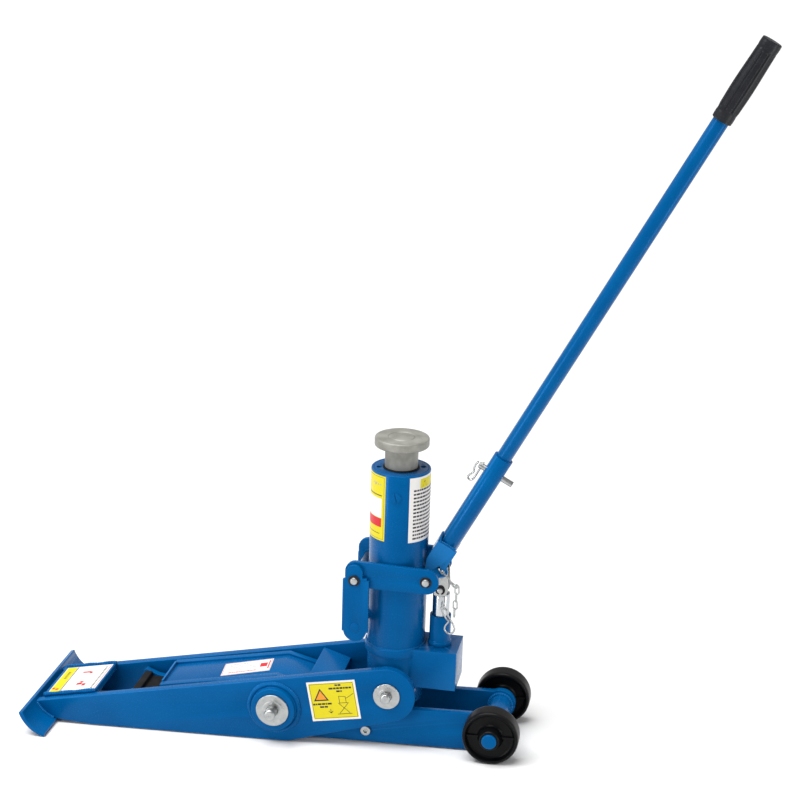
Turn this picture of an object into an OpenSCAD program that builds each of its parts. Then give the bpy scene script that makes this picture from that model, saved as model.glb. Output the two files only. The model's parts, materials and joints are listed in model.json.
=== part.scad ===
// Forklift jack: a scissor of two frames, opened by a hydraulic unit that stands on the pivot side.
// Millimetres. Length runs along X, toe at -X and wheels at +X; width along Y; floor at z = 0.
// Pieces are drawn from the trunnion line (x = 0) and moved so that the origin is the centre of
// the footprint.

/* [Wheels and axle] */
// Distance from the trunnion line to the axle
wheel_x = 140.7; // [120:1:170]
// Wheel radius
wheel_r = 37.5; // [32:0.5:45]
// Wheel width
wheel_w = 26; // [18:1:32]
// Axle radius
axle_r = 10; // [7:0.5:13]
// How far the axle stands out past each wheel
axle_end = 9.5; // [3:0.5:15]

/* [Base frame] */
// Half the width over the two base plates
base_half_w = 40; // [36:0.5:50]
// Base plate thickness
base_t = 9.5; // [8:0.5:12]
// Height of the straight rail behind the trunnion
rail_top = 54; // [48:1:55]
// Ground clearance under the rails
rail_clear = 2.5; // [1.5:0.5:6]
// Distance from the trunnion line to the lip of the cover panel
lip_x = -320.5; // [-330:1:-300]
// Thickness of the cover panel
cover_t = 2.5; // [2:0.5:4]
// Height of the top of the load pad
pad_top = 47; // [44:1:52]
// Thickness of the rubber load pad
pad_t = 12; // [8:1:16]
// Length of the load pad along the jack
pad_len = 30; // [24:1:36]

/* [Scissor pivot] */
// Distance from the trunnion line to the scissor pivot
pivot_x = -154.6; // [-170:1:-140]
// Height of the scissor pivot
pivot_z = 51; // [46:1:56]
// Radius of the pivot pin
pivot_r = 10; // [8:0.5:12]
// Radius of the welded boss around the pivot
boss_r = 35.5; // [30:0.5:38]
// Radius of the thrust ring on the boss
ring_r = 30; // [24:0.5:32]

/* [Lift arms] */
// Gap between a base plate and a lift arm
arm_gap = 4.3; // [3:0.1:8]
// Lift arm thickness
arm_t = 12; // [8:0.5:14]
// Radius of the rounded end around the trunnion
arm_end_r = 38; // [34:0.5:42]
// Slope of the top edge, degrees
arm_slope = 9.7; // [8:0.1:11]
// Height of the trunnion
trunnion_z = 79.8; // [74:0.2:90]
// Radius of the trunnion pins
trunnion_r = 12; // [10:0.5:14]

/* [Rocker toe] */
// Distance from the trunnion line to the centre of the toe's arc
toe_x = -454.9; // [-470:1:-440]
// Outer radius of the toe's arc
toe_r = 49.9; // [45:0.1:55]
// Thickness of the toe plate
toe_t = 6; // [4:0.5:8]
// Half the width of the toe
toe_half_w = 101.2; // [80:0.2:120]
// Direction of the toe's upper edge from the arc's centre, degrees
toe_a0 = 196; // [190:1:200]
// Direction of the toe's lower edge from the arc's centre, degrees
toe_a1 = 253.9; // [250:0.1:260]

/* [Hydraulic unit] */
// Lean of the unit towards the wheels, degrees
lean = 2.2; // [1:0.1:4]
// Radius of the oil tank
tank_r = 39.2; // [37:0.2:41]
// Tank wall
tank_wall = 3.5; // [2.5:0.5:5]
// Length of the tank tube
tank_len = 245; // [232:1:260]
// Height of the block's top above the trunnion
block_top = 59.1; // [56:0.2:66]
// Depth of the block below the trunnion
block_drop = 21.8; // [20.5:0.1:23]
// Radius of the round part of the block
block_r = 38; // [34:0.5:38.5]
// Distance from the unit's axis to the block's pump end
block_len = 87.2; // [82:0.2:95]
// Half the width of the block's pump end
block_half_w = 30; // [24:0.5:34]
// Radius of the ram
ram_r = 20; // [16:0.5:20]
// Bore radius of the working cylinder
cyl_r = 23; // [21.5:0.5:24]
// Radius of the saddle's disc
saddle_r = 35.9; // [30:0.1:40]
// Thickness of the saddle's disc
saddle_t = 12; // [8:0.5:16]
// Length of the saddle's neck above the tank
neck_len = 30; // [20:1:40]

/* [Yoke and carrying bail] */
// Height of the yoke's lower edge above the trunnion
yoke_low = 147; // [135:1:150]
// Height of the yoke plates
yoke_h = 36; // [34:1:42]
// Thickness of the yoke plates
yoke_t = 6; // [4:0.5:8]
// Distance of the front pin from the unit's axis
front_pin_u = 48.9; // [46:0.1:54]
// Radius of the front and fulcrum pins
pin_r = 5; // [4:0.25:5.25]
// Distance of the fulcrum pin from the unit's axis
fulcrum_u = 45.2; // [45:0.1:50]
// Thickness of the bail plates
bail_t = 5; // [3:0.5:6]
// Width of the bail plates
bail_w = 35; // [28:1:38]
// Length of the bail below the front pin
bail_drop = 86.5; // [78:0.5:92]

/* [Hand pump] */
// Distance of the pump from the unit's axis
pump_u = 59.6; // [59:0.1:63]
// Radius of the pump barrel
barrel_r = 14.3; // [13:0.1:16]
// Height of the pump barrel above the block
barrel_h = 43; // [38:0.5:48]
// Radius of the plunger
plunger_r = 11.5; // [8:0.5:12]
// Height of the plunger pin above the trunnion
plunger_pin_w = 140.6; // [138:0.2:144]
// Distance from the fulcrum to the crank pin
crank = 18; // [16:0.5:20]

/* [Handle] */
// Angle of the handle from upright, degrees
handle_a = 30.35; // [20:0.05:45]
// Length from the fulcrum to the end of the grip
handle_len = 808; // [650:1:1000]
// Outer radius of the handle tube
rod_r = 10.35; // [8:0.05:11]
// Wall of the handle tube
rod_wall = 2; // [1.5:0.25:3]
// Outer radius of the handle socket
socket_r = 13.15; // [12:0.05:15]
// Length from the fulcrum to the top of the socket
socket_top = 188; // [170:1:220]
// Length of the grip
grip_len = 110; // [90:1:140]
// Radius of the grip
grip_r = 14.2; // [12:0.1:16]

/* [Hidden] */

$fn = 64;
// Radial clearance of a turning fit, and the free gap between pieces that pass each other
run_fit = 0.06;
gap = 0.3;
// Overlap that keeps a cut clear of the face it starts from
cut = 1;
BLUE = "#0f66ad";
ZINC = "#c4c6c4";
BLACK = "#1b1c1e";
STONE = "#9a988f";
CHROME = "#dcdfe2";

wheel_gap = 4.2;
wheel_in = base_half_w + wheel_gap + 2.8;
axle_half = wheel_in + wheel_w + axle_end;
arm_in = base_half_w + arm_gap;
arm_out = arm_in + arm_t;
base_in = base_half_w - base_t;
toe_z = toe_r * cos(toe_a1 - 270);
toe_in = toe_r - toe_t;
boss_h = 4;
ring_h = 6;
pivot_face = arm_out + boss_h + ring_h;

// The ram foot mirrors the trunnion about the pivot, so the ram stays in line with its cylinder
ram_drop = 2 * (-pivot_x * sin(lean) + (trunnion_z - pivot_z) * cos(lean));
ram_x = -ram_drop * sin(lean);
ram_z = trunnion_z - ram_drop * cos(lean);
ram_pin_r = 6;
ram_eye_r = ram_z - 1.4;
ram_eye_half = 12;
cheek_in = ram_r + gap + 0.2;
cylinder_wall = 5;
cyl_out = cyl_r + cylinder_wall;
gland_top = 8;
tank_top = block_top + tank_len;
nut_h = 14;
ram_len = 208;
piston_h = 14;

yoke_in = tank_r + 0.2;
yoke_out = yoke_in + yoke_t;
pin_w = yoke_low + yoke_h * 0.32;
fulcrum_w = yoke_low + yoke_h - 19.2;
fulcrum_eye = 17;
yoke_end_r = 13.5;
bail_in = yoke_out + 0.5;
bail_out = bail_in + bail_t;
bail_head_w = 22;
bail_bar_r = 6.5;
bail_bar_w = pin_w - bail_drop + 19.5;
clip_t = 1.2;

handle_tilt = handle_a - lean;
crank_a = 16.5;
crank_u = fulcrum_u + crank * cos(crank_a);
crank_w = fulcrum_w + crank * sin(crank_a);
crank_pin_r = 3;
bracket_in = 13.2;
bracket_t = 5;
bracket_out = bracket_in + bracket_t;
bracket_len = 47;
bracket_half = 14.5;
bracket_eye = 7.6;
link_in = 7.5;
link_t = 4;
plunger_pin_r = 4;
lock_s = 162;
lock_r = 4;
grip_end_r = 13;

handle_x = fulcrum_u * cos(lean) + fulcrum_w * sin(lean);
top_corner = handle_x + handle_len * sin(handle_a) + grip_end_r * cos(handle_a);
toe_front = toe_x + toe_r * cos(toe_a0);
centre_x = (toe_front + top_corner) / 2;

// Moves the whole jack so that the footprint's centre is the origin
module jack() translate([-centre_x, 0, 0]) children();
// Frame of the hydraulic unit: origin on the trunnion line, Z up the tank
module unit() jack() translate([0, 0, trunnion_z]) rotate([0, lean, 0]) children();
// Frame of the handle: origin at the fulcrum pin, Z up the handle
module lever() unit() translate([fulcrum_u, 0, fulcrum_w]) rotate([0, handle_tilt, 0]) children();
// Round bar along Y, from y0 to y1
module bar_y(r, y0, y1, facets = 64) translate([0, y0, 0]) rotate([-90, 0, 0])
    cylinder(r = r, h = y1 - y0, $fn = facets);
// Side outline drawn in X and Z, as a plate from y0 to y1
module plate_y(y0, y1) translate([0, y1, 0]) rotate([90, 0, 0]) linear_extrude(y1 - y0) children();
// The same child on the near and on the far side
module both_sides() {
    children();
    mirror([0, 1, 0]) children();
}
function arc(r, a0, a1, n) =
    [for (i = [0:n]) let (a = a0 + (a1 - a0) * i / n) [r * cos(a), r * sin(a)]];
function shift(points, dx, dy) = [for (p = points) [p[0] + dx, p[1] + dy]];

// ---- axle and wheels ----
module axle() color(BLUE) jack() translate([wheel_x, 0, wheel_r])
    bar_y(axle_r, -axle_half, axle_half);

module axle_washers() color(ZINC) jack() translate([wheel_x, 0, wheel_r]) both_sides()
    difference() {
        bar_y(axle_r + 6, base_half_w + 0.3, base_half_w + wheel_gap - 0.4);
        bar_y(axle_r + run_fit, base_half_w, base_half_w + wheel_gap);
    }

// Moulded wheel: tread, recessed web on both faces and a hub
module wheel() {
    face = wheel_w / 2;
    rim_in = wheel_r - 6;
    hub_out = face + axle_end - 2.5;
    web = 5;
    hub_r = axle_r + 5;
    translate([0, wheel_in + face, 0]) rotate([90, 0, 0]) rotate_extrude()
        polygon([[axle_r + run_fit, -hub_out], [hub_r, -hub_out], [hub_r + 1, -web], [rim_in, -web],
            [rim_in + 2, -face], [wheel_r - 2.5, -face], [wheel_r, -face + 4],
            [wheel_r, face - 4], [wheel_r - 2.5, face], [rim_in + 2, face], [rim_in, web],
            [hub_r + 1, web], [hub_r, face], [axle_r + run_fit, face]]);
}
module wheel_far() color(BLACK) jack() translate([wheel_x, 0, wheel_r]) wheel();
module wheel_near() color(BLACK) jack() translate([wheel_x, 0, wheel_r]) mirror([0, 1, 0]) wheel();

// ---- base frame ----
lip_top = 62.2;
crest_x = pivot_x;
crest_top = pivot_z + 38.6;
knee_x = pivot_x + 38.6;
knee_top = crest_top - 11.1;
rail_x = knee_x + 51.5;
rail_end_r = wheel_r - 17.5;
nose_x = lip_x - 49;
pad_x0 = lip_x - 46;
// Side outline of a base plate
module base_outline() {
    // The straight edges end just inside the round end, so the two outlines cross cleanly
    end_r = rail_end_r - 0.2;
    translate([wheel_x, wheel_r]) circle(r = rail_end_r);
    polygon([[nose_x, 38], [nose_x + 4, 22], [crest_x, rail_clear], [wheel_x - 24, rail_clear],
        [wheel_x + end_r * cos(-105), wheel_r + end_r * sin(-105)], [wheel_x, wheel_r],
        [wheel_x + end_r * cos(65), wheel_r + end_r * sin(65)], [rail_x, rail_top],
        [knee_x, knee_top], [crest_x, crest_top], [lip_x, lip_top], [lip_x, 42],
        [pad_x0 + 32, 39], [pad_x0 + 20, 41], [pad_x0 + 6, 47], [nose_x + 6, 49],
        [nose_x + 2, 46]]);
}
module base_plate() difference() {
    plate_y(base_in, base_half_w) base_outline();
    translate([pivot_x, 0, pivot_z]) bar_y(pivot_r + run_fit, 0, arm_out);
    translate([wheel_x, 0, wheel_r]) bar_y(axle_r + run_fit, 0, arm_out);
    translate([cheek_screw_x, 0, cheek_screw_z]) bar_y(screw_r, 0, arm_out);
}
module base_plate_far() color(BLUE) jack() base_plate();
module base_plate_near() color(BLUE) jack() mirror([0, 1, 0]) base_plate();

// Folded sheet that closes the top of the frame, set down between the plates
cover_drop = 2.5;
cover_end = 14;
module cover_panel() color(BLUE) jack() plate_y(-base_in, base_in) polygon([
    [lip_x, lip_top - cover_drop - 15], [lip_x, lip_top + 2.5], [lip_x + cover_t, lip_top + 2.5],
    [lip_x + cover_t, lip_top - cover_drop], [crest_x, crest_top - cover_drop],
    [knee_x, knee_top - cover_drop], [knee_x + cover_end, knee_top - cover_drop - cover_end * 0.48],
    [knee_x + cover_end, knee_top - cover_drop - cover_end * 0.48 - cover_t],
    [knee_x, knee_top - cover_drop - cover_t], [crest_x, crest_top - cover_drop - cover_t],
    [lip_x + cover_t, lip_top - cover_drop - cover_t], [lip_x + cover_t, lip_top - cover_drop - 15]]);

module axle_sleeve() color(BLUE) jack() translate([wheel_x, 0, wheel_r]) difference() {
    bar_y(axle_r + 5, -base_in, base_in);
    bar_y(axle_r + run_fit, -base_half_w, base_half_w);
}

module pivot_sleeve() color(BLUE) jack() translate([pivot_x, 0, pivot_z]) difference() {
    bar_y(pivot_r + 5, -base_in, base_in);
    bar_y(pivot_r + run_fit, -base_half_w, base_half_w);
}

module load_bar() color(BLUE) jack()
    translate([pad_x0 + 3, -base_in, 17]) cube([pad_len - 2, 2 * base_in, pad_top - pad_t - 17]);

// Rubber pad with a raised bar along its toe side
pad_bar = 11;
pad_half = base_in - gap;
module load_pad() color(BLACK) jack() translate([pad_x0 + 2, -pad_half, pad_top - pad_t]) {
    cube([pad_bar, 2 * pad_half, pad_t]);
    translate([pad_bar, 0, 0]) cube([pad_len - pad_bar, 2 * pad_half, pad_t * 0.45]);
}

// Bearing blocks bolted inside the base plates, one each side of the ram's foot
cheek_screw_x = ram_x - 29.8;
cheek_screw_z = ram_z + 8.6;
screw_r = 4;
cheek_len = 52;
cheek_h = 24;
module foot_cheeks() color(BLUE) jack() both_sides() difference() {
    union() {
        translate([cheek_screw_x - 9, cheek_in, rail_clear])
            cube([cheek_len, base_in - cheek_in, cheek_h]);
        translate([ram_x, 0, ram_z]) bar_y(ram_eye_r - 0.6, ram_eye_half + gap, base_in);
    }
    translate([ram_x, 0, ram_z]) bar_y(ram_pin_r, 0, base_half_w);
    translate([cheek_screw_x, 0, cheek_screw_z]) bar_y(screw_r, 0, base_half_w);
}

module ram_foot_pin() color(ZINC) jack() translate([ram_x, 0, ram_z])
    bar_y(ram_pin_r, -base_in, base_in);

// Socket-head screws, near and far
module cheek_screws() color(ZINC) jack() translate([cheek_screw_x, 0, cheek_screw_z]) both_sides()
    difference() {
        union() {
            bar_y(screw_r, cheek_in, base_half_w);
            bar_y(6.7, base_half_w, base_half_w + 3.5);
        }
        bar_y(3.2, base_half_w + 0.8, base_half_w + 3.5 + cut, 6);
    }

// ---- lift arms ----
arm_low = 1.6;
arm_vertex = pivot_x + 17.1;
under_slope = 16.1;
arm_top_z = trunnion_z + arm_end_r / cos(arm_slope);
function arm_top(x) = arm_top_z + x * tan(arm_slope);
// Side outline of a lift arm
module arm_outline() {
    // The straight edges end just inside the round end, so the two outlines cross cleanly
    edge_r = arm_end_r - 0.15;
    translate([0, trunnion_z]) circle(r = arm_end_r);
    polygon(concat(
        shift(arc(toe_in, toe_a0 + 7, toe_a1, 8), toe_x, toe_z),
        [[arm_vertex - 280, arm_low], [arm_vertex, arm_low],
        [edge_r * sin(under_slope), trunnion_z - edge_r * cos(under_slope)], [0, trunnion_z],
        [-edge_r * sin(arm_slope), trunnion_z + edge_r * cos(arm_slope)]]));
}
module lift_arm() difference() {
    plate_y(arm_in, arm_out) arm_outline();
    translate([pivot_x, 0, pivot_z]) bar_y(pivot_r, 0, arm_out + cut);
    translate([0, 0, trunnion_z]) bar_y(trunnion_r + run_fit, 0, arm_out + cut);
}
module arm_far() color(BLUE) jack() lift_arm();
module arm_near() color(BLUE) jack() mirror([0, 1, 0]) lift_arm();

// Stepped reinforcing bosses welded around the pivot holes
module pivot_bosses() color(BLUE) jack() translate([pivot_x, 0, pivot_z]) both_sides() difference() {
    union() {
        bar_y(boss_r, arm_out, arm_out + boss_h, 96);
        bar_y(ring_r, arm_out + boss_h, pivot_face, 96);
    }
    bar_y(pivot_r, arm_out - cut, pivot_face + cut);
}

pivot_stub = 7.8;
washer_t = 2.5;
module pivot_pin() color(ZINC) jack() translate([pivot_x, 0, pivot_z]) {
    bar_y(pivot_r, -pivot_face, pivot_face);
    both_sides() {
        bar_y(pivot_stub, pivot_face, pivot_face + 17);
        translate([0, pivot_face + 17, 0]) rotate([-90, 0, 0])
            cylinder(r1 = pivot_stub, r2 = pivot_stub - 1.5, h = 1.5);
    }
}

module pivot_washers() color(ZINC) jack() translate([pivot_x, 0, pivot_z]) both_sides() difference() {
    bar_y(22.5, pivot_face, pivot_face + washer_t);
    bar_y(pivot_stub, pivot_face - cut, pivot_face + washer_t + cut);
}

// Curved plate that the jack rocks on as it lifts
module toe_rocker() color(BLUE) jack() plate_y(-toe_half_w, toe_half_w)
    translate([toe_x, toe_z]) difference() {
        circle(r = toe_r, $fn = 128);
        circle(r = toe_in, $fn = 128);
        polygon(concat([[0, 0]], arc(2 * toe_r, toe_a1, toe_a0 + 360, 12)));
    }

// Flat plate between the arms behind the toe
bridge_t = 9;
bridge_x = toe_x - 34;
bridge_len = 77;
module toe_bridge() color(BLUE) jack() translate([bridge_x, -arm_in, arm_top(bridge_x)])
    rotate([0, -arm_slope, 0]) translate([0, 0, -bridge_t]) cube([bridge_len, 2 * arm_in, bridge_t]);

// Sloping brace between the arms in front of the trunnion
brace_x = pivot_x + 47;
brace_slope = 19;
module brace_plate() color(BLUE) jack() translate([brace_x, -arm_in, arm_top(brace_x) - 3])
    rotate([0, brace_slope, 0]) translate([0, 0, -6]) cube([40, 2 * arm_in, 6]);

// ---- hydraulic unit ----
boss_y = arm_in - 0.5;
trunnion_boss_r = 20;
module pump_block() color(BLUE) unit() difference() {
    union() {
        translate([0, 0, -block_drop]) cylinder(r = block_r, h = block_drop + block_top - 11.5);
        translate([0, -block_half_w, 5]) cube([block_len, 2 * block_half_w, block_top - 5]);
        bar_y(trunnion_boss_r, -boss_y, boss_y);
    }
    translate([0, 0, -block_drop - cut]) cylinder(r = cyl_out, h = block_drop + block_top + 2 * cut);
    translate([0, 0, block_top - 11.5]) cylinder(r = tank_r + 2.3, h = 12);
    bar_y(trunnion_stud_r, -boss_y - cut, boss_y + cut);
    translate([pump_u, 0, 18]) cylinder(r = plunger_r + 0.2, h = block_top);
    translate([valve_u, block_half_w - 16, valve_w]) bar_y(valve_r + run_fit, 0, 16 + cut);
}

trunnion_stud_r = 8;
trunnion_end = arm_out + 0.4;
module trunnion_pins() color(ZINC) unit() both_sides() {
    bar_y(trunnion_stud_r, cyl_out + 1.5, boss_y);
    bar_y(trunnion_r, boss_y, trunnion_end);
    bar_y(6.75, trunnion_end, trunnion_end + 10);
    translate([0, trunnion_end + 10, 0]) rotate([-90, 0, 0]) cylinder(r1 = 6.75, r2 = 5.2, h = 1.5);
}

module trunnion_washers() color(ZINC) unit() both_sides() difference() {
    bar_y(18, trunnion_end, trunnion_end + 2);
    bar_y(6.75, trunnion_end - cut, trunnion_end + 2 + cut);
}

module base_flange() color(BLUE) unit() difference() {
    translate([0, 0, block_top - 11.5]) cylinder(r = tank_r + 2.3, h = 11.5, $fn = 96);
    translate([0, 0, block_top - 12.5]) cylinder(r = cyl_out, h = 14);
}

module tank_tube() color(BLUE) unit() difference() {
    translate([0, 0, block_top]) cylinder(r = tank_r, h = tank_len, $fn = 96);
    translate([0, 0, block_top - cut])
        cylinder(r = tank_r - tank_wall, h = tank_len + 2 * cut, $fn = 96);
    translate([plug_u, 0, plug_w]) bar_y(plug_r, -tank_r - cut, 0);
}

module working_cylinder() color(ZINC) unit() difference() {
    translate([0, 0, gland_top]) cylinder(r = cyl_out, h = tank_top - nut_h - gland_top);
    translate([0, 0, gland_top - cut]) cylinder(r = cyl_r, h = tank_top);
}

// Threaded gland that closes the cylinder around the ram
module gland_nut() color(ZINC) unit() difference() {
    translate([0, 0, -block_drop]) cylinder(r = cyl_out, h = block_drop + gland_top);
    translate([0, 0, -block_drop - cut]) cylinder(r = ram_r + gap, h = block_drop + gland_top + 2 * cut);
}

neck_r = 22;
spanner_a = 15;
module top_nut() color(BLUE) unit() difference() {
    translate([0, 0, tank_top - nut_h]) cylinder(r = tank_r - tank_wall, h = nut_h, $fn = 96);
    translate([0, 0, tank_top - nut_h - cut]) cylinder(r = neck_r, h = nut_h + 2 * cut);
    for (a = [0, 180]) rotate([0, 0, spanner_a + a])
        translate([(neck_r + tank_r - tank_wall) / 2, 0, tank_top - 7]) cylinder(r = 3.5, h = 8);
}

module wiper_ring() color(BLACK) unit() difference() {
    translate([0, 0, tank_top]) cylinder(r = neck_r + 2.2, h = 1.8);
    translate([0, 0, tank_top - cut]) cylinder(r = neck_r, h = 4);
}

module saddle() color(STONE) unit() translate([0, 0, tank_top]) rotate_extrude($fn = 96)
    polygon([[0, -nut_h], [neck_r, -nut_h], [neck_r, neck_len], [saddle_r - 1, neck_len],
        [saddle_r, neck_len + 1], [saddle_r, neck_len + saddle_t - 1.5],
        [saddle_r - 1.5, neck_len + saddle_t], [0, neck_len + saddle_t]]);

plug_u = 1;
plug_w = 274.4;
plug_r = 6.8;
slot_turn = 75;
module filler_plug() color(BLUE) unit() translate([plug_u, 0, plug_w]) difference() {
    bar_y(plug_r, -tank_r - 1.2, -tank_r + tank_wall + 1.5);
    rotate([0, slot_turn, 0]) translate([-plug_r, -tank_r - 1.2 - cut, -0.8])
        cube([2 * plug_r, cut + 1.2, 1.6]);
}

// ---- yoke, pins and carrying bail ----
module yoke() difference() {
    plate_y(yoke_in, yoke_out) union() {
        translate([fulcrum_u, fulcrum_w]) circle(r = fulcrum_eye);
        translate([-front_pin_u, yoke_low + yoke_h - yoke_end_r]) circle(r = yoke_end_r);
        translate([-front_pin_u, yoke_low + yoke_end_r]) circle(r = yoke_end_r);
        translate([-front_pin_u - yoke_end_r, yoke_low + yoke_end_r])
            square([yoke_end_r, yoke_h - 2 * yoke_end_r]);
        polygon([[-front_pin_u, yoke_low], [fulcrum_u, fulcrum_w - fulcrum_eye],
            [fulcrum_u + 3, fulcrum_w + fulcrum_eye - 0.3], [-front_pin_u, yoke_low + yoke_h]]);
    }
    translate([-front_pin_u, 0, pin_w]) bar_y(pin_r, 0, yoke_out + cut);
    translate([fulcrum_u, 0, fulcrum_w]) bar_y(pin_r, 0, yoke_out + cut);
}
module yoke_far() color(BLUE) unit() yoke();
module yoke_near() color(BLUE) unit() mirror([0, 1, 0]) yoke();

module front_pin() color(ZINC) unit() translate([-front_pin_u, 0, pin_w])
    bar_y(pin_r, -bail_out - 3.5, bail_out + 3.5);

module fulcrum_pin() color(ZINC) unit() translate([fulcrum_u, 0, fulcrum_w])
    bar_y(pin_r, -yoke_out - 4, yoke_out + 4);

// Open spring clip, drawn flat on the pin's end
module circlip(r) difference() {
    bar_y(r + 2.6, 0, clip_t);
    bar_y(r, -cut, clip_t + cut);
    translate([-r * 0.4, -cut, -r - 3]) cube([r * 0.8, clip_t + 2 * cut, r + 3]);
}
module pin_circlips() color(BLACK) unit() both_sides() {
    translate([-front_pin_u, bail_out + 0.3, pin_w]) circlip(pin_r);
    translate([fulcrum_u, yoke_out, fulcrum_w]) circlip(pin_r);
}

// Side outline of a bail plate, hanging from the front pin
shoulder_w = pin_w + 4;
bail_shift = 2.2;
bail_u = bail_shift - front_pin_u;
module bail_plate() difference() {
    foot_r = bail_w / 2 - 2;
    foot_w = pin_w - bail_drop + foot_r;
    plate_y(bail_in, bail_out) {
        translate([bail_u, foot_w]) circle(r = foot_r);
        translate([bail_u - bail_w / 2, foot_w - 2]) square([bail_w, shoulder_w - 1 - foot_w]);
        translate([bail_u - bail_w / 2 + 3, shoulder_w - 6]) square([bail_w - 6, 6]);
        translate([-front_pin_u, shoulder_w + 6.5]) circle(r = bail_head_w / 2);
        translate([-front_pin_u - bail_head_w / 2, shoulder_w - 6]) square([bail_head_w, 12.5]);
    }
    translate([-front_pin_u, 0, pin_w]) bar_y(pin_r + run_fit, 0, bail_out + cut);
    translate([bail_u, 0, bail_bar_w]) bar_y(bail_bar_r, 0, bail_out + cut);
}
module bail_far() color(BLUE) unit() bail_plate();
module bail_near() color(BLUE) unit() mirror([0, 1, 0]) bail_plate();

module bail_bar() color(BLUE) unit() translate([bail_u, 0, bail_bar_w])
    bar_y(bail_bar_r, -bail_out - 0.6, bail_out + 0.6);

// ---- ram ----
module ram() color(CHROME) unit() translate([0, 0, -ram_drop]) difference() {
    union() {
        translate([0, 0, ram_eye_r + 1.5]) cylinder(r = ram_r, h = ram_len + ram_drop - ram_eye_r - 1.5);
        translate([-ram_eye_r, -ram_eye_half, 0]) cube([2 * ram_eye_r, 2 * ram_eye_half, ram_eye_r + 4]);
        bar_y(ram_eye_r, -ram_eye_half, ram_eye_half);
    }
    bar_y(ram_pin_r + run_fit, -ram_eye_half - cut, ram_eye_half + cut);
}

module piston_seal() color(BLACK) unit() difference() {
    translate([0, 0, ram_len]) cylinder(r = cyl_r - gap, h = piston_h);
    translate([0, 0, ram_len - cut]) cylinder(r = 6, h = piston_h + 2 * cut);
}

// ---- release valve on the far side of the block ----
valve_u = 52;
valve_w = 32;
valve_r = 6;
module release_valve() color(ZINC) unit() translate([valve_u, 0, valve_w]) {
    bar_y(valve_r, block_half_w - 15, block_half_w + 5);
    bar_y(9, block_half_w + 0.5, block_half_w + 4);
    translate([-13, block_half_w + 5, -3]) cube([26, 6, 6]);
}

// ---- hand pump ----
module pump_barrel() color(BLUE) unit() translate([pump_u, 0, block_top]) difference() {
    union() {
        cylinder(r = barrel_r, h = barrel_h);
        cylinder(r = barrel_r + 1.7, h = 6);
    }
    translate([0, 0, -cut]) cylinder(r = plunger_r + gap, h = barrel_h + 2 * cut);
}

module plunger() color(CHROME) unit() difference() {
    union() {
        translate([pump_u, 0, block_top - 26]) cylinder(r = plunger_r, h = plunger_pin_w - block_top + 18);
        translate([pump_u, 0, plunger_pin_w]) translate([-6.5, -link_in, -8]) cube([13, 2 * link_in, 14]);
    }
    both_sides() translate([pump_u - 13, link_in, plunger_pin_w - 10]) cube([26, 8, 20]);
    translate([pump_u, 0, plunger_pin_w]) bar_y(plunger_pin_r, -12, 12);
}

module plunger_pin() color(ZINC) unit() translate([pump_u, 0, plunger_pin_w])
    bar_y(plunger_pin_r, -link_in - link_t - 4, link_in + link_t + 4);

// Twin links with a cross slot for the crank pin
slot_half = 2.2;
module plunger_links() color(ZINC) unit() both_sides() difference() {
    plate_y(link_in, link_in + link_t) {
        translate([pump_u, plunger_pin_w]) circle(r = 10);
        translate([crank_u - 0.8, crank_w]) circle(r = 6.6);
        translate([crank_u - 3.6, crank_w]) circle(r = 6.6);
        polygon([[pump_u - 9.9, plunger_pin_w + 1.5], [pump_u + 9.9, plunger_pin_w + 1.5],
            [crank_u + 5.7, crank_w], [crank_u - 10, crank_w]]);
    }
    translate([pump_u, 0, plunger_pin_w]) bar_y(plunger_pin_r, 0, 20);
    for (du = [-slot_half, slot_half]) translate([crank_u - 1.2 + du, 0, crank_w])
        bar_y(crank_pin_r + 0.8, 0, 20);
    translate([crank_u - 1.2 - slot_half, 0, crank_w - crank_pin_r - 0.8])
        cube([2 * slot_half, 20, 2 * crank_pin_r + 1.6]);
}

module plunger_circlips() color(BLACK) unit() both_sides()
    translate([pump_u, link_in + link_t, plunger_pin_w]) circlip(plunger_pin_r);

// ---- handle ----
crank_s = crank * cos(90 - crank_a - handle_tilt);
crank_p = crank * sin(90 - crank_a - handle_tilt);
// Side plates joined by a web behind the socket
module handle_bracket() color(BLUE) lever() difference() {
    union() {
        both_sides() plate_y(bracket_in, bracket_out) {
            circle(r = bracket_eye);
            translate([crank_p, crank_s]) circle(r = 7);
            polygon([[-6.8, -3.4], [3, -7], [crank_p + 5.5, crank_s - 4.3], [bracket_half, 22],
                [bracket_half, bracket_len], [-bracket_half, bracket_len], [-bracket_half, 18]]);
        }
        translate([-bracket_half, -bracket_out, socket_low])
            cube([4, 2 * bracket_out, bracket_len - socket_low]);
    }
    bar_y(pin_r + run_fit, -30, 30);
    translate([crank_p, 0, crank_s]) bar_y(crank_pin_r, -30, 30);
    translate([ring_p, 0, ring_s]) bar_y(2.5, -30, 0);
}

module crank_pin() color(ZINC) lever() translate([crank_p, 0, crank_s])
    bar_y(crank_pin_r, -bracket_out - 1.5, bracket_out + 1.5);

socket_low = 27;
module handle_socket() color(BLUE) lever() difference() {
    translate([0, 0, socket_low]) cylinder(r = socket_r, h = socket_top - socket_low);
    translate([0, 0, socket_low - cut]) cylinder(r = rod_r + run_fit, h = socket_top);
    translate([0, 0, lock_s]) rotate([0, 90, 0]) translate([0, 0, -30]) cylinder(r = lock_r, h = 60);
    translate([-bracket_half - cut, -30, socket_low - cut]) cube([5 + cut, 60, 30]);
}

module lock_pin() color(ZINC) lever() translate([0, 0, lock_s]) difference() {
    rotate([0, 90, 0]) translate([0, 0, -socket_r - 9]) cylinder(r = lock_r, h = 2 * socket_r + 24);
    translate([-socket_r - clip_out, 0, -lock_r - cut])
        cylinder(r = wire_r + 0.15, h = 2 * (lock_r + cut), $fn = 24);
}

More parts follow.
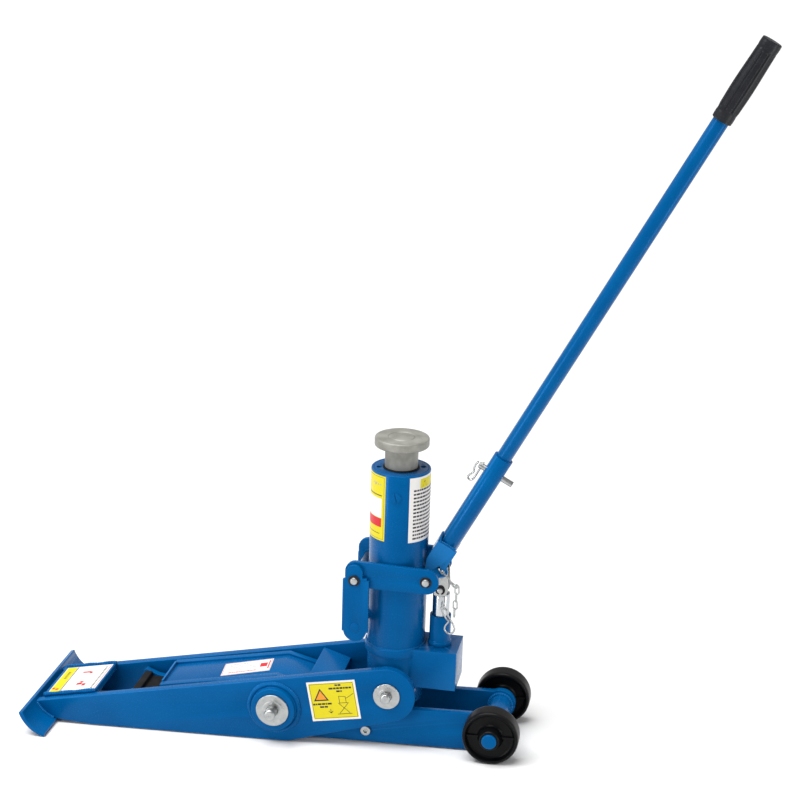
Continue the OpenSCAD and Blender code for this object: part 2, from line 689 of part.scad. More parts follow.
// Spring clip through the lock pin's end: a straight leg, a bowed leg and the bend between them
wire_r = 1.3;
clip_out = 5.2;
clip_leg = 30;
clip_bow = 6.5;
module lock_clip() color(ZINC) lever() translate([-socket_r - clip_out, 0, lock_s]) {
    translate([0, 0, -clip_leg + 4]) cylinder(r = wire_r, h = clip_leg, $fn = 16);
    translate([-clip_bow, 0, -clip_leg + 4]) cylinder(r = wire_r, h = clip_leg - 12, $fn = 16);
    translate([-clip_bow - 2, 0, -clip_leg + 6]) rotate([0, 90, 0])
        cylinder(r = wire_r, h = clip_bow + 4, $fn = 16);
}

rod_low = socket_low + 18;
rod_top = handle_len - 3;
module handle_rod() color(BLUE) lever() difference() {
    translate([0, 0, rod_low]) cylinder(r = rod_r, h = rod_top - rod_low);
    translate([0, 0, rod_low - cut]) cylinder(r = rod_r - rod_wall, h = rod_top - rod_low + 2 * cut);
    translate([0, 0, lock_s]) rotate([0, 90, 0]) translate([0, 0, -30]) cylinder(r = lock_r, h = 60);
}

module handle_grip() color(BLACK) lever() difference() {
    rotate_extrude() polygon([[0, handle_len - grip_len], [grip_end_r - 1, handle_len - grip_len],
        [grip_end_r, handle_len - grip_len + 2], [grip_end_r, handle_len - grip_len + 7],
        [grip_end_r - 1, handle_len - grip_len + 9], [grip_r, handle_len - grip_len * 0.55],
        [grip_r - 0.4, handle_len - 14], [grip_end_r - 1, handle_len - 8], [grip_end_r, handle_len - 6],
        [grip_end_r, handle_len], [0, handle_len]]);
    translate([0, 0, handle_len - grip_len - cut])
        cylinder(r = rod_r, h = rod_top - handle_len + grip_len + cut);
}

// ---- keeper chain, hanging from the bracket ----
ring_s = 15;
ring_p = 6;
chain_y = -bracket_out - 4.5;
hang_x = fulcrum_u * cos(lean) + fulcrum_w * sin(lean) + ring_s * sin(handle_a) + ring_p * cos(handle_a);
hang_z = trunnion_z + fulcrum_w * cos(lean) - fulcrum_u * sin(lean)
    + ring_s * cos(handle_a) - ring_p * sin(handle_a);
// Frame of the chain: origin at the ring's hole, Z up
module hanging() jack() translate([hang_x, 0, hang_z]) children();
// Straight wire from one point to another
module wire(a, b, r) {
    d = b - a;
    translate(a) rotate([0, acos(d[2] / norm(d)), atan2(d[1], d[0])])
        cylinder(r = r, h = norm(d), $fn = 16);
}
module keeper_ring() color(ZINC) hanging() {
    bar_y(1, chain_y - 1, -bracket_in, 16);
    wire([-0.5, chain_y, 0.5], [24, chain_y, -22], 1);
}

link_len = 13;
chain_x = 25;
module keeper_chain() color(ZINC) hanging() for (i = [0:3])
    translate([chain_x - 1.2 * i, chain_y, -24 - i * (link_len - 2.4)]) {
        turn = i % 2 == 0 ? 0 : 90;
        for (side = [-1, 1]) rotate([0, 0, turn]) translate([side * 2.4, 0, -link_len + 2.4])
            cylinder(r = 0.9, h = link_len - 4.8, $fn = 12);
        for (w = [0, -link_len + 1]) rotate([0, 0, turn])
            translate([-3, 0, w - 1]) rotate([0, 90, 0]) cylinder(r = 0.9, h = 6, $fn = 12);
    }

clip_drop = 74;
module keeper_clip() color(ZINC) hanging() translate([chain_x - 6, chain_y, -clip_drop]) {
    translate([0, 1.2, -6]) rotate([90, 0, 0]) difference() {
        cylinder(r = 8, h = 2.4);
        translate([0, 0, -cut]) cylinder(r = 5.6, h = 5);
    }
    wire([-6.5, 0, -6], [-16, 0, 24], 1.2);
    wire([-4.5, 0, -1], [-8, 0, 26], 1.2);
}

axle();
axle_washers();
wheel_near();
wheel_far();
base_plate_near();
base_plate_far();
cover_panel();
axle_sleeve();
pivot_sleeve();
load_bar();
load_pad();
foot_cheeks();
ram_foot_pin();
cheek_screws();
arm_near();
arm_far();
pivot_bosses();
pivot_pin();
pivot_washers();
toe_rocker();
toe_bridge();
brace_plate();
pump_block();
trunnion_pins();
trunnion_washers();
base_flange();
tank_tube();
working_cylinder();
gland_nut();
top_nut();
wiper_ring();
saddle();
filler_plug();
yoke_near();
yoke_far();
front_pin();
fulcrum_pin();
pin_circlips();
pump_barrel();
ram();
piston_seal();
release_valve();
bail_near();
bail_far();
bail_bar();
plunger();
plunger_pin();
plunger_links();
plunger_circlips();
handle_bracket();
crank_pin();
handle_socket();
lock_pin();
lock_clip();
handle_rod();
handle_grip();
keeper_ring();
keeper_chain();
keeper_clip();
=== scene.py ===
import json
import random
from math import atan2, ceil, cos, exp, pi, radians, sin, sqrt, tan

import bmesh
import bpy
from mathutils import Matrix, Vector


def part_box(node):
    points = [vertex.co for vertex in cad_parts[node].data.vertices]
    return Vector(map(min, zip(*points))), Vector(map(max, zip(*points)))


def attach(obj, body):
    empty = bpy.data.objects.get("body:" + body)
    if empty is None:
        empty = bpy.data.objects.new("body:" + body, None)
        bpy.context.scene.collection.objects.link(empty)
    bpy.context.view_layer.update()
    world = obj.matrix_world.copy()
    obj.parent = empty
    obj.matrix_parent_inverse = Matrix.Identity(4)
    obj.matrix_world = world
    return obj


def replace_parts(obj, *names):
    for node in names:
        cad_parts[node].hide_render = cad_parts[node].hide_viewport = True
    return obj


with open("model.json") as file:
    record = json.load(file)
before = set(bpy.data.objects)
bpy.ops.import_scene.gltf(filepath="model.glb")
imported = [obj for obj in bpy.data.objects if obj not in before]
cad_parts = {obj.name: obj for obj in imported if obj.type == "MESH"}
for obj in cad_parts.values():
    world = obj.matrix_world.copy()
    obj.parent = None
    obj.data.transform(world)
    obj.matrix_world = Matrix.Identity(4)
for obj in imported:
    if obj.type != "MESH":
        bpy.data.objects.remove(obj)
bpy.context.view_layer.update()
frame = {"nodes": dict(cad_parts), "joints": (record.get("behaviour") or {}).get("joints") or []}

# ----------------------
# Base frame: two side plates of flame-cut steel with a folded cover between them.
# The plates are dressed at the edges and sprayed with blue enamel after welding, so every edge is
# slightly round; the paler blue on every sharp edge is a painted highlight.
# ----------------------
MM = 0.001
PLATE_EDGE = 0.9
SHEET_EDGE = 0.5
SIDES = (("near", -1), ("far", 1))
joint_at = {joint["name"]: Vector(joint.get("pos_m", (0, 0, 0))) / MM for joint in frame["joints"]}


def linear(hex_colour):
    """Linear RGBA of an sRGB hex colour."""
    channels = [int(hex_colour[i:i + 2], 16) / 255 for i in (1, 3, 5)]
    return (*[c / 12.92 if c <= 0.04045 else ((c + 0.055) / 1.055) ** 2.4 for c in channels], 1)


def add(tree, kind, inputs=(), **settings):
    """Adds a shader node; each input is (socket, value), and a value that is a socket is linked."""
    node = tree.nodes.new(kind)
    for name, value in settings.items():
        setattr(node, name, value)
    for socket, value in inputs:
        if isinstance(value, bpy.types.NodeSocket):
            tree.links.new(value, node.inputs[socket])
        else:
            node.inputs[socket].default_value = value
    return node


def material(name, shader_inputs):
    """A new material: its node tree, its Principled shader and the object's position in mm."""
    made = bpy.data.materials.new(name)
    made.use_nodes = True
    tree = made.node_tree
    tree.nodes.clear()
    shader = add(tree, "ShaderNodeBsdfPrincipled", shader_inputs)
    add(tree, "ShaderNodeOutputMaterial", [("Surface", shader.outputs[0])])
    place = add(tree, "ShaderNodeTexCoord")
    in_mm = add(tree, "ShaderNodeVectorMath", [
        (0, place.outputs["Object"]), ("Scale", 1000)], operation="SCALE")
    return made, tree, shader, in_mm.outputs[0]


def wire(tree, shader, *sources):
    """Links a finish's colour, then its roughness and its relief if it has them."""
    for source, socket in zip(sources, ("Base Color", "Roughness", "Normal")):
        tree.links.new(source, shader.inputs[socket])


# Gloss alkyd enamel, air-sprayed over steel: a smooth film with a faint orange peel of about 4 mm,
# slow drifts of tone where the coat is thicker and dust nibs; a paler blue line on every sharp
# edge, found by pointiness, is a painted highlight.
PEEL_MM = 4
DRIFT_MM = 70
DUST_MM = 1.6
enamel, tree, shader, mm = material("blue_enamel_sprayed", [
    ("Metallic", 0), ("IOR", 1.5), ("Specular Tint", linear("#3A86D8"))])
drift = add(tree, "ShaderNodeTexNoise", [("Vector", mm), ("Scale", 1 / DRIFT_MM), ("Detail", 2)])
thick = add(tree, "ShaderNodeMapRange", [
    ("Value", drift.outputs["Fac"]), ("From Min", 0.35), ("From Max", 0.65)])
coat = add(tree, "ShaderNodeMix", [
    ("Factor", thick.outputs[0]), (6, linear("#00487C")), (7, linear("#004F85"))], data_type="RGBA")
shape = add(tree, "ShaderNodeNewGeometry")
# Painted highlight: sharp edges, found by pointiness, are mixed towards a paler blue.
painted_edge_highlight_mask = add(tree, "ShaderNodeMapRange", [
    ("Value", shape.outputs["Pointiness"]), ("From Min", 0.53), ("From Max", 0.66),
    ("To Max", 0.4)])
blue_with_painted_edge_highlight = add(tree, "ShaderNodeMix", [
    ("Factor", painted_edge_highlight_mask.outputs[0]), (6, coat.outputs[2]), (7, linear("#2F7FC0"))], data_type="RGBA")
dust = add(tree, "ShaderNodeTexNoise", [("Vector", mm), ("Scale", 1 / DUST_MM), ("Detail", 3)])
gloss = add(tree, "ShaderNodeMapRange", [
    ("Value", dust.outputs["Fac"]), ("From Min", 0.35), ("From Max", 0.7), ("To Min", 0.2),
    ("To Max", 0.3)])
peel = add(tree, "ShaderNodeTexNoise", [("Vector", mm), ("Scale", 1 / PEEL_MM), ("Detail", 1)])
relief = add(tree, "ShaderNodeBump", [
    ("Height", peel.outputs["Fac"]), ("Strength", 0.08), ("Distance", 0.0004)])
wire(tree, shader, blue_with_painted_edge_highlight.outputs[2], gloss.outputs[0], relief.outputs[0])


def dress(piece, finish, body, slot):
    """Gives a piece its finish and the body it rides on; slot is not used."""
    piece.data.materials.clear()
    piece.data.materials.append(finish)
    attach(piece, body)
    return piece


def softened(node, body, finish, slot, width):
    """A copy of a CAD piece with its edges dressed to a small radius, standing for that piece."""
    mesh = bpy.data.meshes.new(node + "_dressed")
    work = bmesh.new()
    work.from_mesh(frame["nodes"][node].data)
    bmesh.ops.remove_doubles(work, verts=work.verts, dist=0.002 * MM)
    bmesh.ops.dissolve_limit(work, angle_limit=radians(1), verts=work.verts, edges=work.edges)
    for face in work.faces:
        face.smooth = True
    work.to_mesh(mesh)
    work.free()
    piece = bpy.data.objects.new(node + "_dressed", mesh)
    bpy.context.scene.collection.objects.link(piece)
    bevel = piece.modifiers.new("dressed_edges", "BEVEL")
    bevel.width = width * MM
    bevel.segments = 3
    bevel.limit_method = "ANGLE"
    bevel.angle_limit = radians(38)
    bevel.harden_normals = True
    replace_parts(piece, node)
    return dress(piece, finish, body, slot)


for plate in ("base_plate_near", "base_plate_far", "load_bar", "foot_cheeks"):
    softened(plate, "base_frame", enamel, "blue_enamel", PLATE_EDGE)
for sheet_part in ("axle_sleeve", "pivot_sleeve", "cover_panel"):
    softened(sheet_part, "base_frame", enamel, "blue_enamel", SHEET_EDGE)


def build(name, verts, faces, finish, body, slot):
    """A smooth-shaded mesh piece with its corners kept sharp; points are in mm."""
    mesh = bpy.data.meshes.new(name)
    mesh.from_pydata([tuple(Vector(v) * MM) for v in verts], [], faces)
    work = bmesh.new()
    work.from_mesh(mesh)
    bmesh.ops.recalc_face_normals(work, faces=work.faces)
    work.to_mesh(mesh)
    work.free()
    mesh.polygons.foreach_set("use_smooth", [True] * len(mesh.polygons))
    mesh.set_sharp_from_angle(angle=radians(40))
    mesh.update()
    piece = bpy.data.objects.new(name, mesh)
    bpy.context.scene.collection.objects.link(piece)
    return dress(piece, finish, body, slot)


def sweep(points, radius, sides, closed=False):
    """Rings of points round a path; radius is one value or a function of the ring's number."""
    count = len(points)
    side = None
    verts, faces = [], []
    for i, point in enumerate(points):
        ahead = points[(i + 1) % count] if closed or i + 1 < count else points[i]
        behind = points[i - 1] if closed or i > 0 else points[i]
        along = (ahead - behind).normalized()
        if side is None:
            side = along.orthogonal().normalized()
        side = (side - along * side.dot(along)).normalized()
        across = along.cross(side)
        r = radius(i) if callable(radius) else radius
        for k in range(sides):
            turn = 2 * pi * k / sides
            verts.append(point + (side * cos(turn) + across * sin(turn)) * r)
    for i in range(count if closed else count - 1):
        for k in range(sides):
            a, b = i * sides + k, i * sides + (k + 1) % sides
            c, d = ((i + 1) % count) * sides + (k + 1) % sides, ((i + 1) % count) * sides + k
            faces.append((a, b, c, d))
    if not closed:
        faces.append(tuple(reversed(range(sides))))
        faces.append(tuple(range((count - 1) * sides, count * sides)))
    return verts, faces


# Welds: MIG fillets laid by hand, one ripple about every 2.5 mm, painted over with the frame.
RIPPLE_MM = 2.5
WANDER_MM = 5
STEP_MM = 0.6
hand = random.Random(5)


def weld(name, path, radius, body, closed=False):
    """A rippled bead along a path of points in mm."""
    path = [Vector(p) for p in path]
    ends = path + [path[0]] if closed else path
    points = []
    for start, end in zip(ends, ends[1:]):
        steps = max(1, round((end - start).length / STEP_MM))
        points += [start.lerp(end, k / steps) for k in range(steps)]
    if not closed:
        points.append(ends[-1])
    phase = hand.random() * 6
    swell = [1 + 0.16 * sin(2 * pi * i * STEP_MM / RIPPLE_MM + phase)
             + 0.14 * sin(i * STEP_MM / WANDER_MM + 2 * phase) + 0.06 * hand.random()
             for i in range(len(points))]
    build(name, *sweep(points, lambda i: swell[i] * radius, 8, closed), enamel, body,
          "blue_enamel")


def ring_path(centre, radius, count=48):
    """Points of a circle about an axis along Y."""
    turns = [radians(360 * i / count) for i in range(count)]
    return [(centre[0] + radius * cos(t), centre[1], centre[2] + radius * sin(t)) for t in turns]


def size_of(node):
    """Lowest and highest corners of a CAD piece in mm."""
    low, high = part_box(node)
    return Vector(low) / MM, Vector(high) / MM


axle_at = joint_at["lift"]
plate_in = size_of("base_plate_far")[0].y
sleeve_r = (size_of("axle_sleeve")[1].z - size_of("axle_sleeve")[0].z) / 2
for side_name, side in SIDES:
    weld(f"axle_weld_{side_name}", ring_path((axle_at.x, side * (plate_in - 1), axle_at.z),
                                            sleeve_r + 0.4), 2.2, "base_frame", closed=True)
    bar_low, bar_high = size_of("load_bar")
    weld(f"load_bar_weld_{side_name}", [
        (bar_low.x - 0.4, side * (plate_in - 0.6), bar_low.z + 2),
        (bar_low.x - 0.4, side * (plate_in - 0.6), bar_high.z)], 1.7, "base_frame")

# ----------------------
# Load pad: a bar of black EPDM rubber bonded on the load bar between the plates.
# Moulded with soft edges; the rubber is matt, with a fine grain and grey scuffs on top.
# ----------------------
RUBBER_GRAIN_MM = 1.2
SCUFF_MM = 14
rubber, tree, shader, mm = material("black_epdm_rubber", [
    ("IOR", 1.52), ("Specular IOR Level", 0.2)])
scuffs = add(tree, "ShaderNodeTexNoise", [("Vector", mm), ("Scale", 1 / SCUFF_MM), ("Detail", 5)])
scuffed = add(tree, "ShaderNodeMapRange", [
    ("Value", scuffs.outputs["Fac"]), ("From Min", 0.5), ("From Max", 0.75)])
rubber_tone = add(tree, "ShaderNodeMix", [
    ("Factor", scuffed.outputs[0]), (6, linear("#0B0B0C")),
    (7, linear("#1D1B1B"))], data_type="RGBA")
grain = add(tree, "ShaderNodeTexNoise", [
    ("Vector", mm), ("Scale", 1 / RUBBER_GRAIN_MM), ("Detail", 4)])
matt = add(tree, "ShaderNodeMapRange", [
    ("Value", grain.outputs["Fac"]), ("To Min", 0.55), ("To Max", 0.85)])
pits = add(tree, "ShaderNodeBump", [
    ("Height", grain.outputs["Fac"]), ("Strength", 0.35), ("Distance", 0.0004)])
wire(tree, shader, rubber_tone.outputs[2], matt.outputs[0], pits.outputs[0])
softened("load_pad", "base_frame", rubber, "black_rubber", 1.6)

# ----------------------
# Screws, pins and washers: cold-headed and turned steel with bright zinc plating.
# The plating is satin, slightly yellow-grey, with cloudy patches and turning marks.
# ----------------------
CLOUD_MM = 6
TOOL_MARK_MM = 0.8
zinc, tree, shader, mm = material("zinc_plated_steel", [("Metallic", 1)])
cloud = add(tree, "ShaderNodeTexNoise", [("Vector", mm), ("Scale", 1 / CLOUD_MM), ("Detail", 4)])
plating = add(tree, "ShaderNodeMix", [
    ("Factor", cloud.outputs["Fac"]), (6, linear("#8C8F91")),
    (7, linear("#BFC1BF"))], data_type="RGBA")
satin = add(tree, "ShaderNodeMapRange", [
    ("Value", cloud.outputs["Fac"]), ("From Min", 0.3), ("From Max", 0.7), ("To Min", 0.24),
    ("To Max", 0.42)])
marks = add(tree, "ShaderNodeTexNoise", [
    ("Vector", mm), ("Scale", 1 / TOOL_MARK_MM), ("Detail", 2)])
scored = add(tree, "ShaderNodeBump", [
    ("Height", marks.outputs["Fac"]), ("Strength", 0.12), ("Distance", 0.0002)])
wire(tree, shader, plating.outputs[2], satin.outputs[0], scored.outputs[0])
for pin, body, width in (
        ("cheek_screws", "base_frame", 0.5), ("axle_washers", "axle", 0.3),
        ("gland_nut", "hydraulic_unit", 0.5), ("release_valve", "release_valve", 0.8),
        ("plunger_links", "plunger", 0.6), ("lock_pin", "handle", 0.7)):
    softened(pin, body, zinc, "zinc_plate", width)


def eased(points, radius, steps=3, closed=True):
    """An outline with each corner cut back by radius and rounded."""
    rounded = []
    for i, corner in enumerate(points):
        if not closed and i in (0, len(points) - 1):
            rounded.append(tuple(corner))
            continue
        corner = Vector(corner)
        back, on = Vector(points[i - 1]) - corner, Vector(points[(i + 1) % len(points)]) - corner
        cut = min(radius, back.length * 0.45, on.length * 0.45)
        start, end = corner + back.normalized() * cut, corner + on.normalized() * cut
        for k in range(steps + 1):
            t = k / steps
            rounded.append(tuple(start * (1 - t) ** 2 + corner * 2 * t * (1 - t) + end * t * t))
    return rounded


def turn(profile, place, count=72, closed=True):
    """Points and faces of a profile of (radius, height) turned about the Z axis of its place."""
    verts, faces, rings = [], [], []
    for radius, height in profile:
        points = 1 if radius == 0 else count
        rings.append([len(verts) + k for k in range(points)])
        verts += [place @ Vector((
            radius * cos(2 * pi * k / count), radius * sin(2 * pi * k / count),
            height)) for k in range(points)]
    for low, high in zip(rings, rings[1:] + (rings[:1] if closed else [])):
        for k in range(count):
            corners = (low[k % len(low)], low[(k + 1) % len(low)],
                       high[(k + 1) % len(high)], high[k % len(high)])
            face = tuple(dict.fromkeys(corners))
            if len(face) > 2:
                faces.append(face)
    return verts, faces


def across(at, side=1):
    """Place whose Z axis runs along Y, away from the middle on the given side."""
    return Matrix.Translation((at.x, 0, at.z)) @ Matrix.Rotation(radians(-90 * side), 4, "X")


def join(shapes):
    """One list of points and one of faces from several solids."""
    verts, faces = [], []
    for more_verts, more_faces in shapes:
        faces += [tuple(len(verts) + i for i in face) for face in more_faces]
        verts += more_verts
    return verts, faces


def stand_in(node, made, shape, finish, body, slot):
    """Builds the piece that stands for a CAD piece, named for how it is made."""
    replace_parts(build(f"{node}_{made}", *shape, finish, body, slot), node)


# Plain round pins: turned to length, with a domed end 1 mm high.
DOME_MM = 1
for node, body in (
        ("ram_foot_pin", "base_frame"), ("front_pin", "hydraulic_unit"),
        ("fulcrum_pin", "hydraulic_unit"), ("plunger_pin", "plunger"), ("crank_pin", "handle")):
    low, high = size_of(node)
    r, half = (high.x - low.x) / 2, high.y
    half_pin = [(r, half - DOME_MM * 1.4), (r - DOME_MM * 0.6, half - DOME_MM * 0.4),
                (r * 0.55, half), (0, half)]
    profile = [(x, -y) for x, y in reversed(half_pin)] + half_pin
    stand_in(node, "turned", turn(profile, across((low + high) / 2), 48, closed=False),
             zinc, body, "zinc_plate")

# Pivot pin and trunnion pins: shouldered, each with a stub that stands out of its washer.
pivot_at = joint_at["scissor"]
trunnion_at = joint_at["trunnion"]
PIVOT_R, STUB_R = 10, 7.8
PIVOT_FACE, STUB_END = 66.3, 84.8
half_pin = eased([
    (PIVOT_R, 0), (PIVOT_R, PIVOT_FACE), (STUB_R, PIVOT_FACE), (STUB_R, STUB_END - 1.2),
    (STUB_R - 1.8, STUB_END), (0, STUB_END)], 1.2, closed=False)[1:]
profile = [(x, -y) for x, y in reversed(half_pin)] + half_pin
stand_in("pivot_pin", "turned", turn(profile, across(pivot_at), 64, closed=False),
         zinc, "lift_arms", "zinc_plate")
STUD_R, TRUNNION_R, END_R = 8, 12, 6.75
STUD_FROM, BOSS_FACE, TRUNNION_FACE, TRUNNION_END = 29.5, 43.8, 56.7, 68.2
profile = eased([
    (0, STUD_FROM), (STUD_R, STUD_FROM), (STUD_R, BOSS_FACE), (TRUNNION_R, BOSS_FACE),
    (TRUNNION_R, TRUNNION_FACE), (END_R, TRUNNION_FACE), (END_R, TRUNNION_END - 1.2),
    (END_R - 1.6, TRUNNION_END), (0, TRUNNION_END)], 1, closed=False)
stand_in("trunnion_pins", "turned",
         join(turn(profile, across(trunnion_at, side), 64, closed=False) for side in (-1, 1)),
         zinc, "hydraulic_unit", "zinc_plate")

# Washers: blanked from sheet, so one edge is rounded by the punch and the face is dished.
for node, body, at, bore, r, face, thick in (
        ("pivot_washers", "lift_arms", pivot_at, STUB_R, 22.5, PIVOT_FACE, 2.5),
        ("trunnion_washers", "hydraulic_unit", trunnion_at, END_R, 18, TRUNNION_FACE, 2)):
    profile = eased([
        (bore, face), (r, face), (r, face + thick - 0.2), (r - 1.6, face + thick),
        (r * 0.62, face + thick - 0.5), (r * 0.55, face + thick), (bore, face + thick)], 0.7)
    stand_in(node, "blanked", join(turn(profile, across(at, side), 80) for side in (-1, 1)),
             zinc, body, "zinc_plate")

# ----------------------
# Axle and wheels: a painted steel axle, and two moulded nylon wheels that turn on it.
# Each wheel has a rounded tread, a recessed web with two ribs a face and a plain hub.
# ----------------------
softened("axle", "axle", enamel, "blue_enamel", 1.2)

NYLON_GRAIN_MM = 2
wheel_low, wheel_high = size_of("wheel_far")
WHEEL_R = (wheel_high.z - wheel_low.z) / 2
nylon, tree, shader, mm = material("black_moulded_nylon", [
    ("IOR", 1.53), ("Specular IOR Level", 0.1)])
flow = add(tree, "ShaderNodeTexNoise", [
    ("Vector", mm), ("Scale", 1 / NYLON_GRAIN_MM), ("Detail", 4)])
from_axle = add(tree, "ShaderNodeVectorMath", [
    (0, mm), (1, (axle_at.x, 0, axle_at.z))], operation="SUBTRACT")
flat = add(tree, "ShaderNodeVectorMath", [
    (0, from_axle.outputs[0]), (1, (1, 0, 1))], operation="MULTIPLY")
out_at = add(tree, "ShaderNodeVectorMath", [(0, flat.outputs[0])], operation="LENGTH")
tread = add(tree, "ShaderNodeMapRange", [
    ("Value", out_at.outputs["Value"]), ("From Min", WHEEL_R - 2), ("From Max", WHEEL_R)])
# The outer 2 mm of the tread is painted a paler brown-grey than the rest of the wheel, broken up by
# the grain noise.
paler_tread_mask = add(tree, "ShaderNodeMath", [
    (0, tread.outputs[0]), (1, flow.outputs["Fac"])], operation="MULTIPLY")
nylon_tone = add(tree, "ShaderNodeMix", [
    ("Factor", paler_tread_mask.outputs[0]), (6, linear("#08090B")), (7, linear("#1E1B1A"))], data_type="RGBA")
sheen = add(tree, "ShaderNodeMapRange", [
    ("Value", flow.outputs["Fac"]), ("To Min", 0.26), ("To Max", 0.42)])
skin = add(tree, "ShaderNodeBump", [
    ("Height", flow.outputs["Fac"]), ("Strength", 0.15), ("Distance", 0.0003)])
wire(tree, shader, nylon_tone.outputs[2], sheen.outputs[0], skin.outputs[0])


def block(corners, verts, faces):
    """Adds a six-sided solid from its four bottom and four top corners."""
    base = len(verts)
    verts += corners
    for quad in ((3, 2, 1, 0), (4, 5, 6, 7), (0, 1, 5, 4), (1, 2, 6, 5), (2, 3, 7, 6),
                 (3, 0, 4, 7)):
        faces.append(tuple(base + i for i in quad))


WHEEL_HALF = 13
HUB_OUT = wheel_high.y - wheel_low.y - WHEEL_HALF
BORE_R = 10.1
HUB_R = 15
WEB_HALF = 5
RIM_IN = WHEEL_R - 6
RIB_W = 4
for side_name, side in SIDES:
    place = across(axle_at, side) @ Matrix.Translation((0, 0, wheel_low.y + WHEEL_HALF))
    half_profile = [
        (HUB_R - 1.5, WHEEL_HALF), (HUB_R, WHEEL_HALF - 1.5), (HUB_R + 0.6, WEB_HALF + 2.5),
        (HUB_R + 3, WEB_HALF), (RIM_IN - 2.5, WEB_HALF), (RIM_IN - 0.3, WEB_HALF + 1.5),
        (RIM_IN + 1, WHEEL_HALF - 1.6), (RIM_IN + 1.8, WHEEL_HALF), (WHEEL_R - 2.6, WHEEL_HALF),
        (WHEEL_R - 0.8, WHEEL_HALF - 1.4), (WHEEL_R, WHEEL_HALF - 4.6), (WHEEL_R, 0)]
    profile = [(r, -h) for r, h in reversed(half_profile[:-1])]
    profile += [(BORE_R, -WHEEL_HALF), (BORE_R, HUB_OUT), (HUB_R - 2.6, HUB_OUT),
                (HUB_R - 1.2, HUB_OUT - 1.4), (HUB_R - 0.4, WHEEL_HALF)]
    profile += half_profile[1:]
    verts, faces = turn(eased(profile, 0.9), place, 96)
    for face_side in (-1, 1):
        for rib_turn in (0, 180):
            rib = place @ Matrix.Rotation(radians(rib_turn), 4, "Z")
            corners = [rib @ Vector((x, y * width, face_side * height))
                       for height, width in ((WEB_HALF - 1, RIB_W / 2), (WEB_HALF + 2.2, RIB_W / 3))
                       for x, y in ((HUB_R - 1, -1), (RIM_IN + 0.6, -1), (RIM_IN + 0.6, 1),
                                    (HUB_R - 1, 1))]
            block(corners, verts, faces)
    stand_in(f"wheel_{side_name}", "moulded", (verts, faces), nylon, f"wheel_{side_name}",
             "wheel_nylon")

# ----------------------
# Lift arms: two flame-cut plates joined by the rocker toe, the bridge and the brace.
# Bosses with a turned thrust ring are welded round the pivot holes, and the whole
# weldment is sprayed with the same blue enamel.
# ----------------------
for plate in ("arm_near", "arm_far", "toe_rocker", "toe_bridge", "brace_plate"):
    softened(plate, "lift_arms", enamel, "blue_enamel", PLATE_EDGE)

arm_in, arm_out = size_of("arm_far")[0].y, size_of("arm_far")[1].y
boss_low, boss_high = size_of("pivot_bosses")
BOSS_R = (boss_high.z - boss_low.z) / 2
BOSS_H = 4
RING_R = 30
profile = eased([
    (PIVOT_R, arm_out), (BOSS_R, arm_out), (BOSS_R, arm_out + BOSS_H),
    (RING_R + 2.6, arm_out + BOSS_H), (RING_R + 1.2, arm_out + BOSS_H - 1.1),
    (RING_R, arm_out + BOSS_H), (RING_R, boss_high.y), (PIVOT_R, boss_high.y)], 1)
for side_name, side in SIDES:
    weld(f"boss_weld_{side_name}",
         ring_path((pivot_at.x, side * (arm_out + 0.5), pivot_at.z), BOSS_R - 0.4), 2.2,
         "lift_arms", closed=True)
stand_in("pivot_bosses", "turned",
         join(turn(profile, across(pivot_at, side), 96) for side in (-1, 1)),
         enamel, "lift_arms", "blue_enamel")

# The toe is welded to the ends of both arms, and the bridge along both of its sides.
ARM_SLOPE = radians(9.7)
ARM_END_R = 38
TOE_R = 49.9
TOE_IN = 43.9
TOE_REACH = radians(16)
toe_x = size_of("toe_rocker")[0].x + TOE_R * cos(TOE_REACH)
toe_z = TOE_R * cos(TOE_REACH)
bridge_low, bridge_high = size_of("toe_bridge")


def arm_top(x):
    """Height of a lift arm's top edge."""
    return trunnion_at.z + ARM_END_R / cos(ARM_SLOPE) + (x - trunnion_at.x) * tan(ARM_SLOPE)


bridge_x0 = bridge_low.x + 2
bridge_x1 = bridge_high.x - 1
for side_name, side in SIDES:
    weld(f"toe_weld_{side_name}", [(
        toe_x + (TOE_IN - 0.4) * cos(radians(a)), side * (arm_out + 0.2),
        toe_z + (TOE_IN - 0.4) * sin(radians(a))) for a in range(205, 252, 4)], 2.1, "lift_arms")
    weld(f"bridge_weld_{side_name}", [
        (bridge_x0, side * arm_in, arm_top(bridge_x0) + 0.4),
        (bridge_x1, side * arm_in, arm_top(bridge_x1) + 0.4)], 2.7, "lift_arms")
weld("bridge_weld_front", [
    (bridge_x0, -arm_in + 4, arm_top(bridge_x0) - 1.6),
    (bridge_x0, arm_in - 4, arm_top(bridge_x0) - 1.6)], 1.6, "lift_arms")

# ----------------------
# Labels: printed vinyl film, 0.15 mm thick, stuck on the arm, the cover, the bridge and
# the tank. The prints are plain fields, rules and rows of bars in screen ink, which is
# a little thicker than the film around it; they carry no writing.
# ----------------------
FILM_MM = 0.15
INK_MM = 0.2
PRINT_GRAIN_MM = 1.5
COLUMN_MM = 3
inks = {}
for ink_name, pale, deep in (
        ("yellow", "#CFC10A", "#C6B708"), ("white", "#DAD8D5", "#D0CDCB"),
        ("red", "#C9222B", "#B21B26"), ("black", "#2A2A2C", "#1C1C1F"),
        ("orange", "#E3922B", "#D5821E"), ("grey", "#9A9A9D", "#85868B")):
    ink, tree, shader, mm = material(f"label_film_{ink_name}", [
        ("IOR", 1.5), ("Roughness", 0.34), ("Specular IOR Level", 0.3)])
    screen = add(tree, "ShaderNodeTexNoise", [
        ("Vector", mm), ("Scale", 1 / PRINT_GRAIN_MM), ("Detail", 3)])
    tint = add(tree, "ShaderNodeMix", [
        ("Factor", screen.outputs["Fac"]), (6, linear(pale)), (7, linear(deep))], data_type="RGBA")
    wire(tree, shader, tint.outputs[2])
    inks[ink_name] = ink


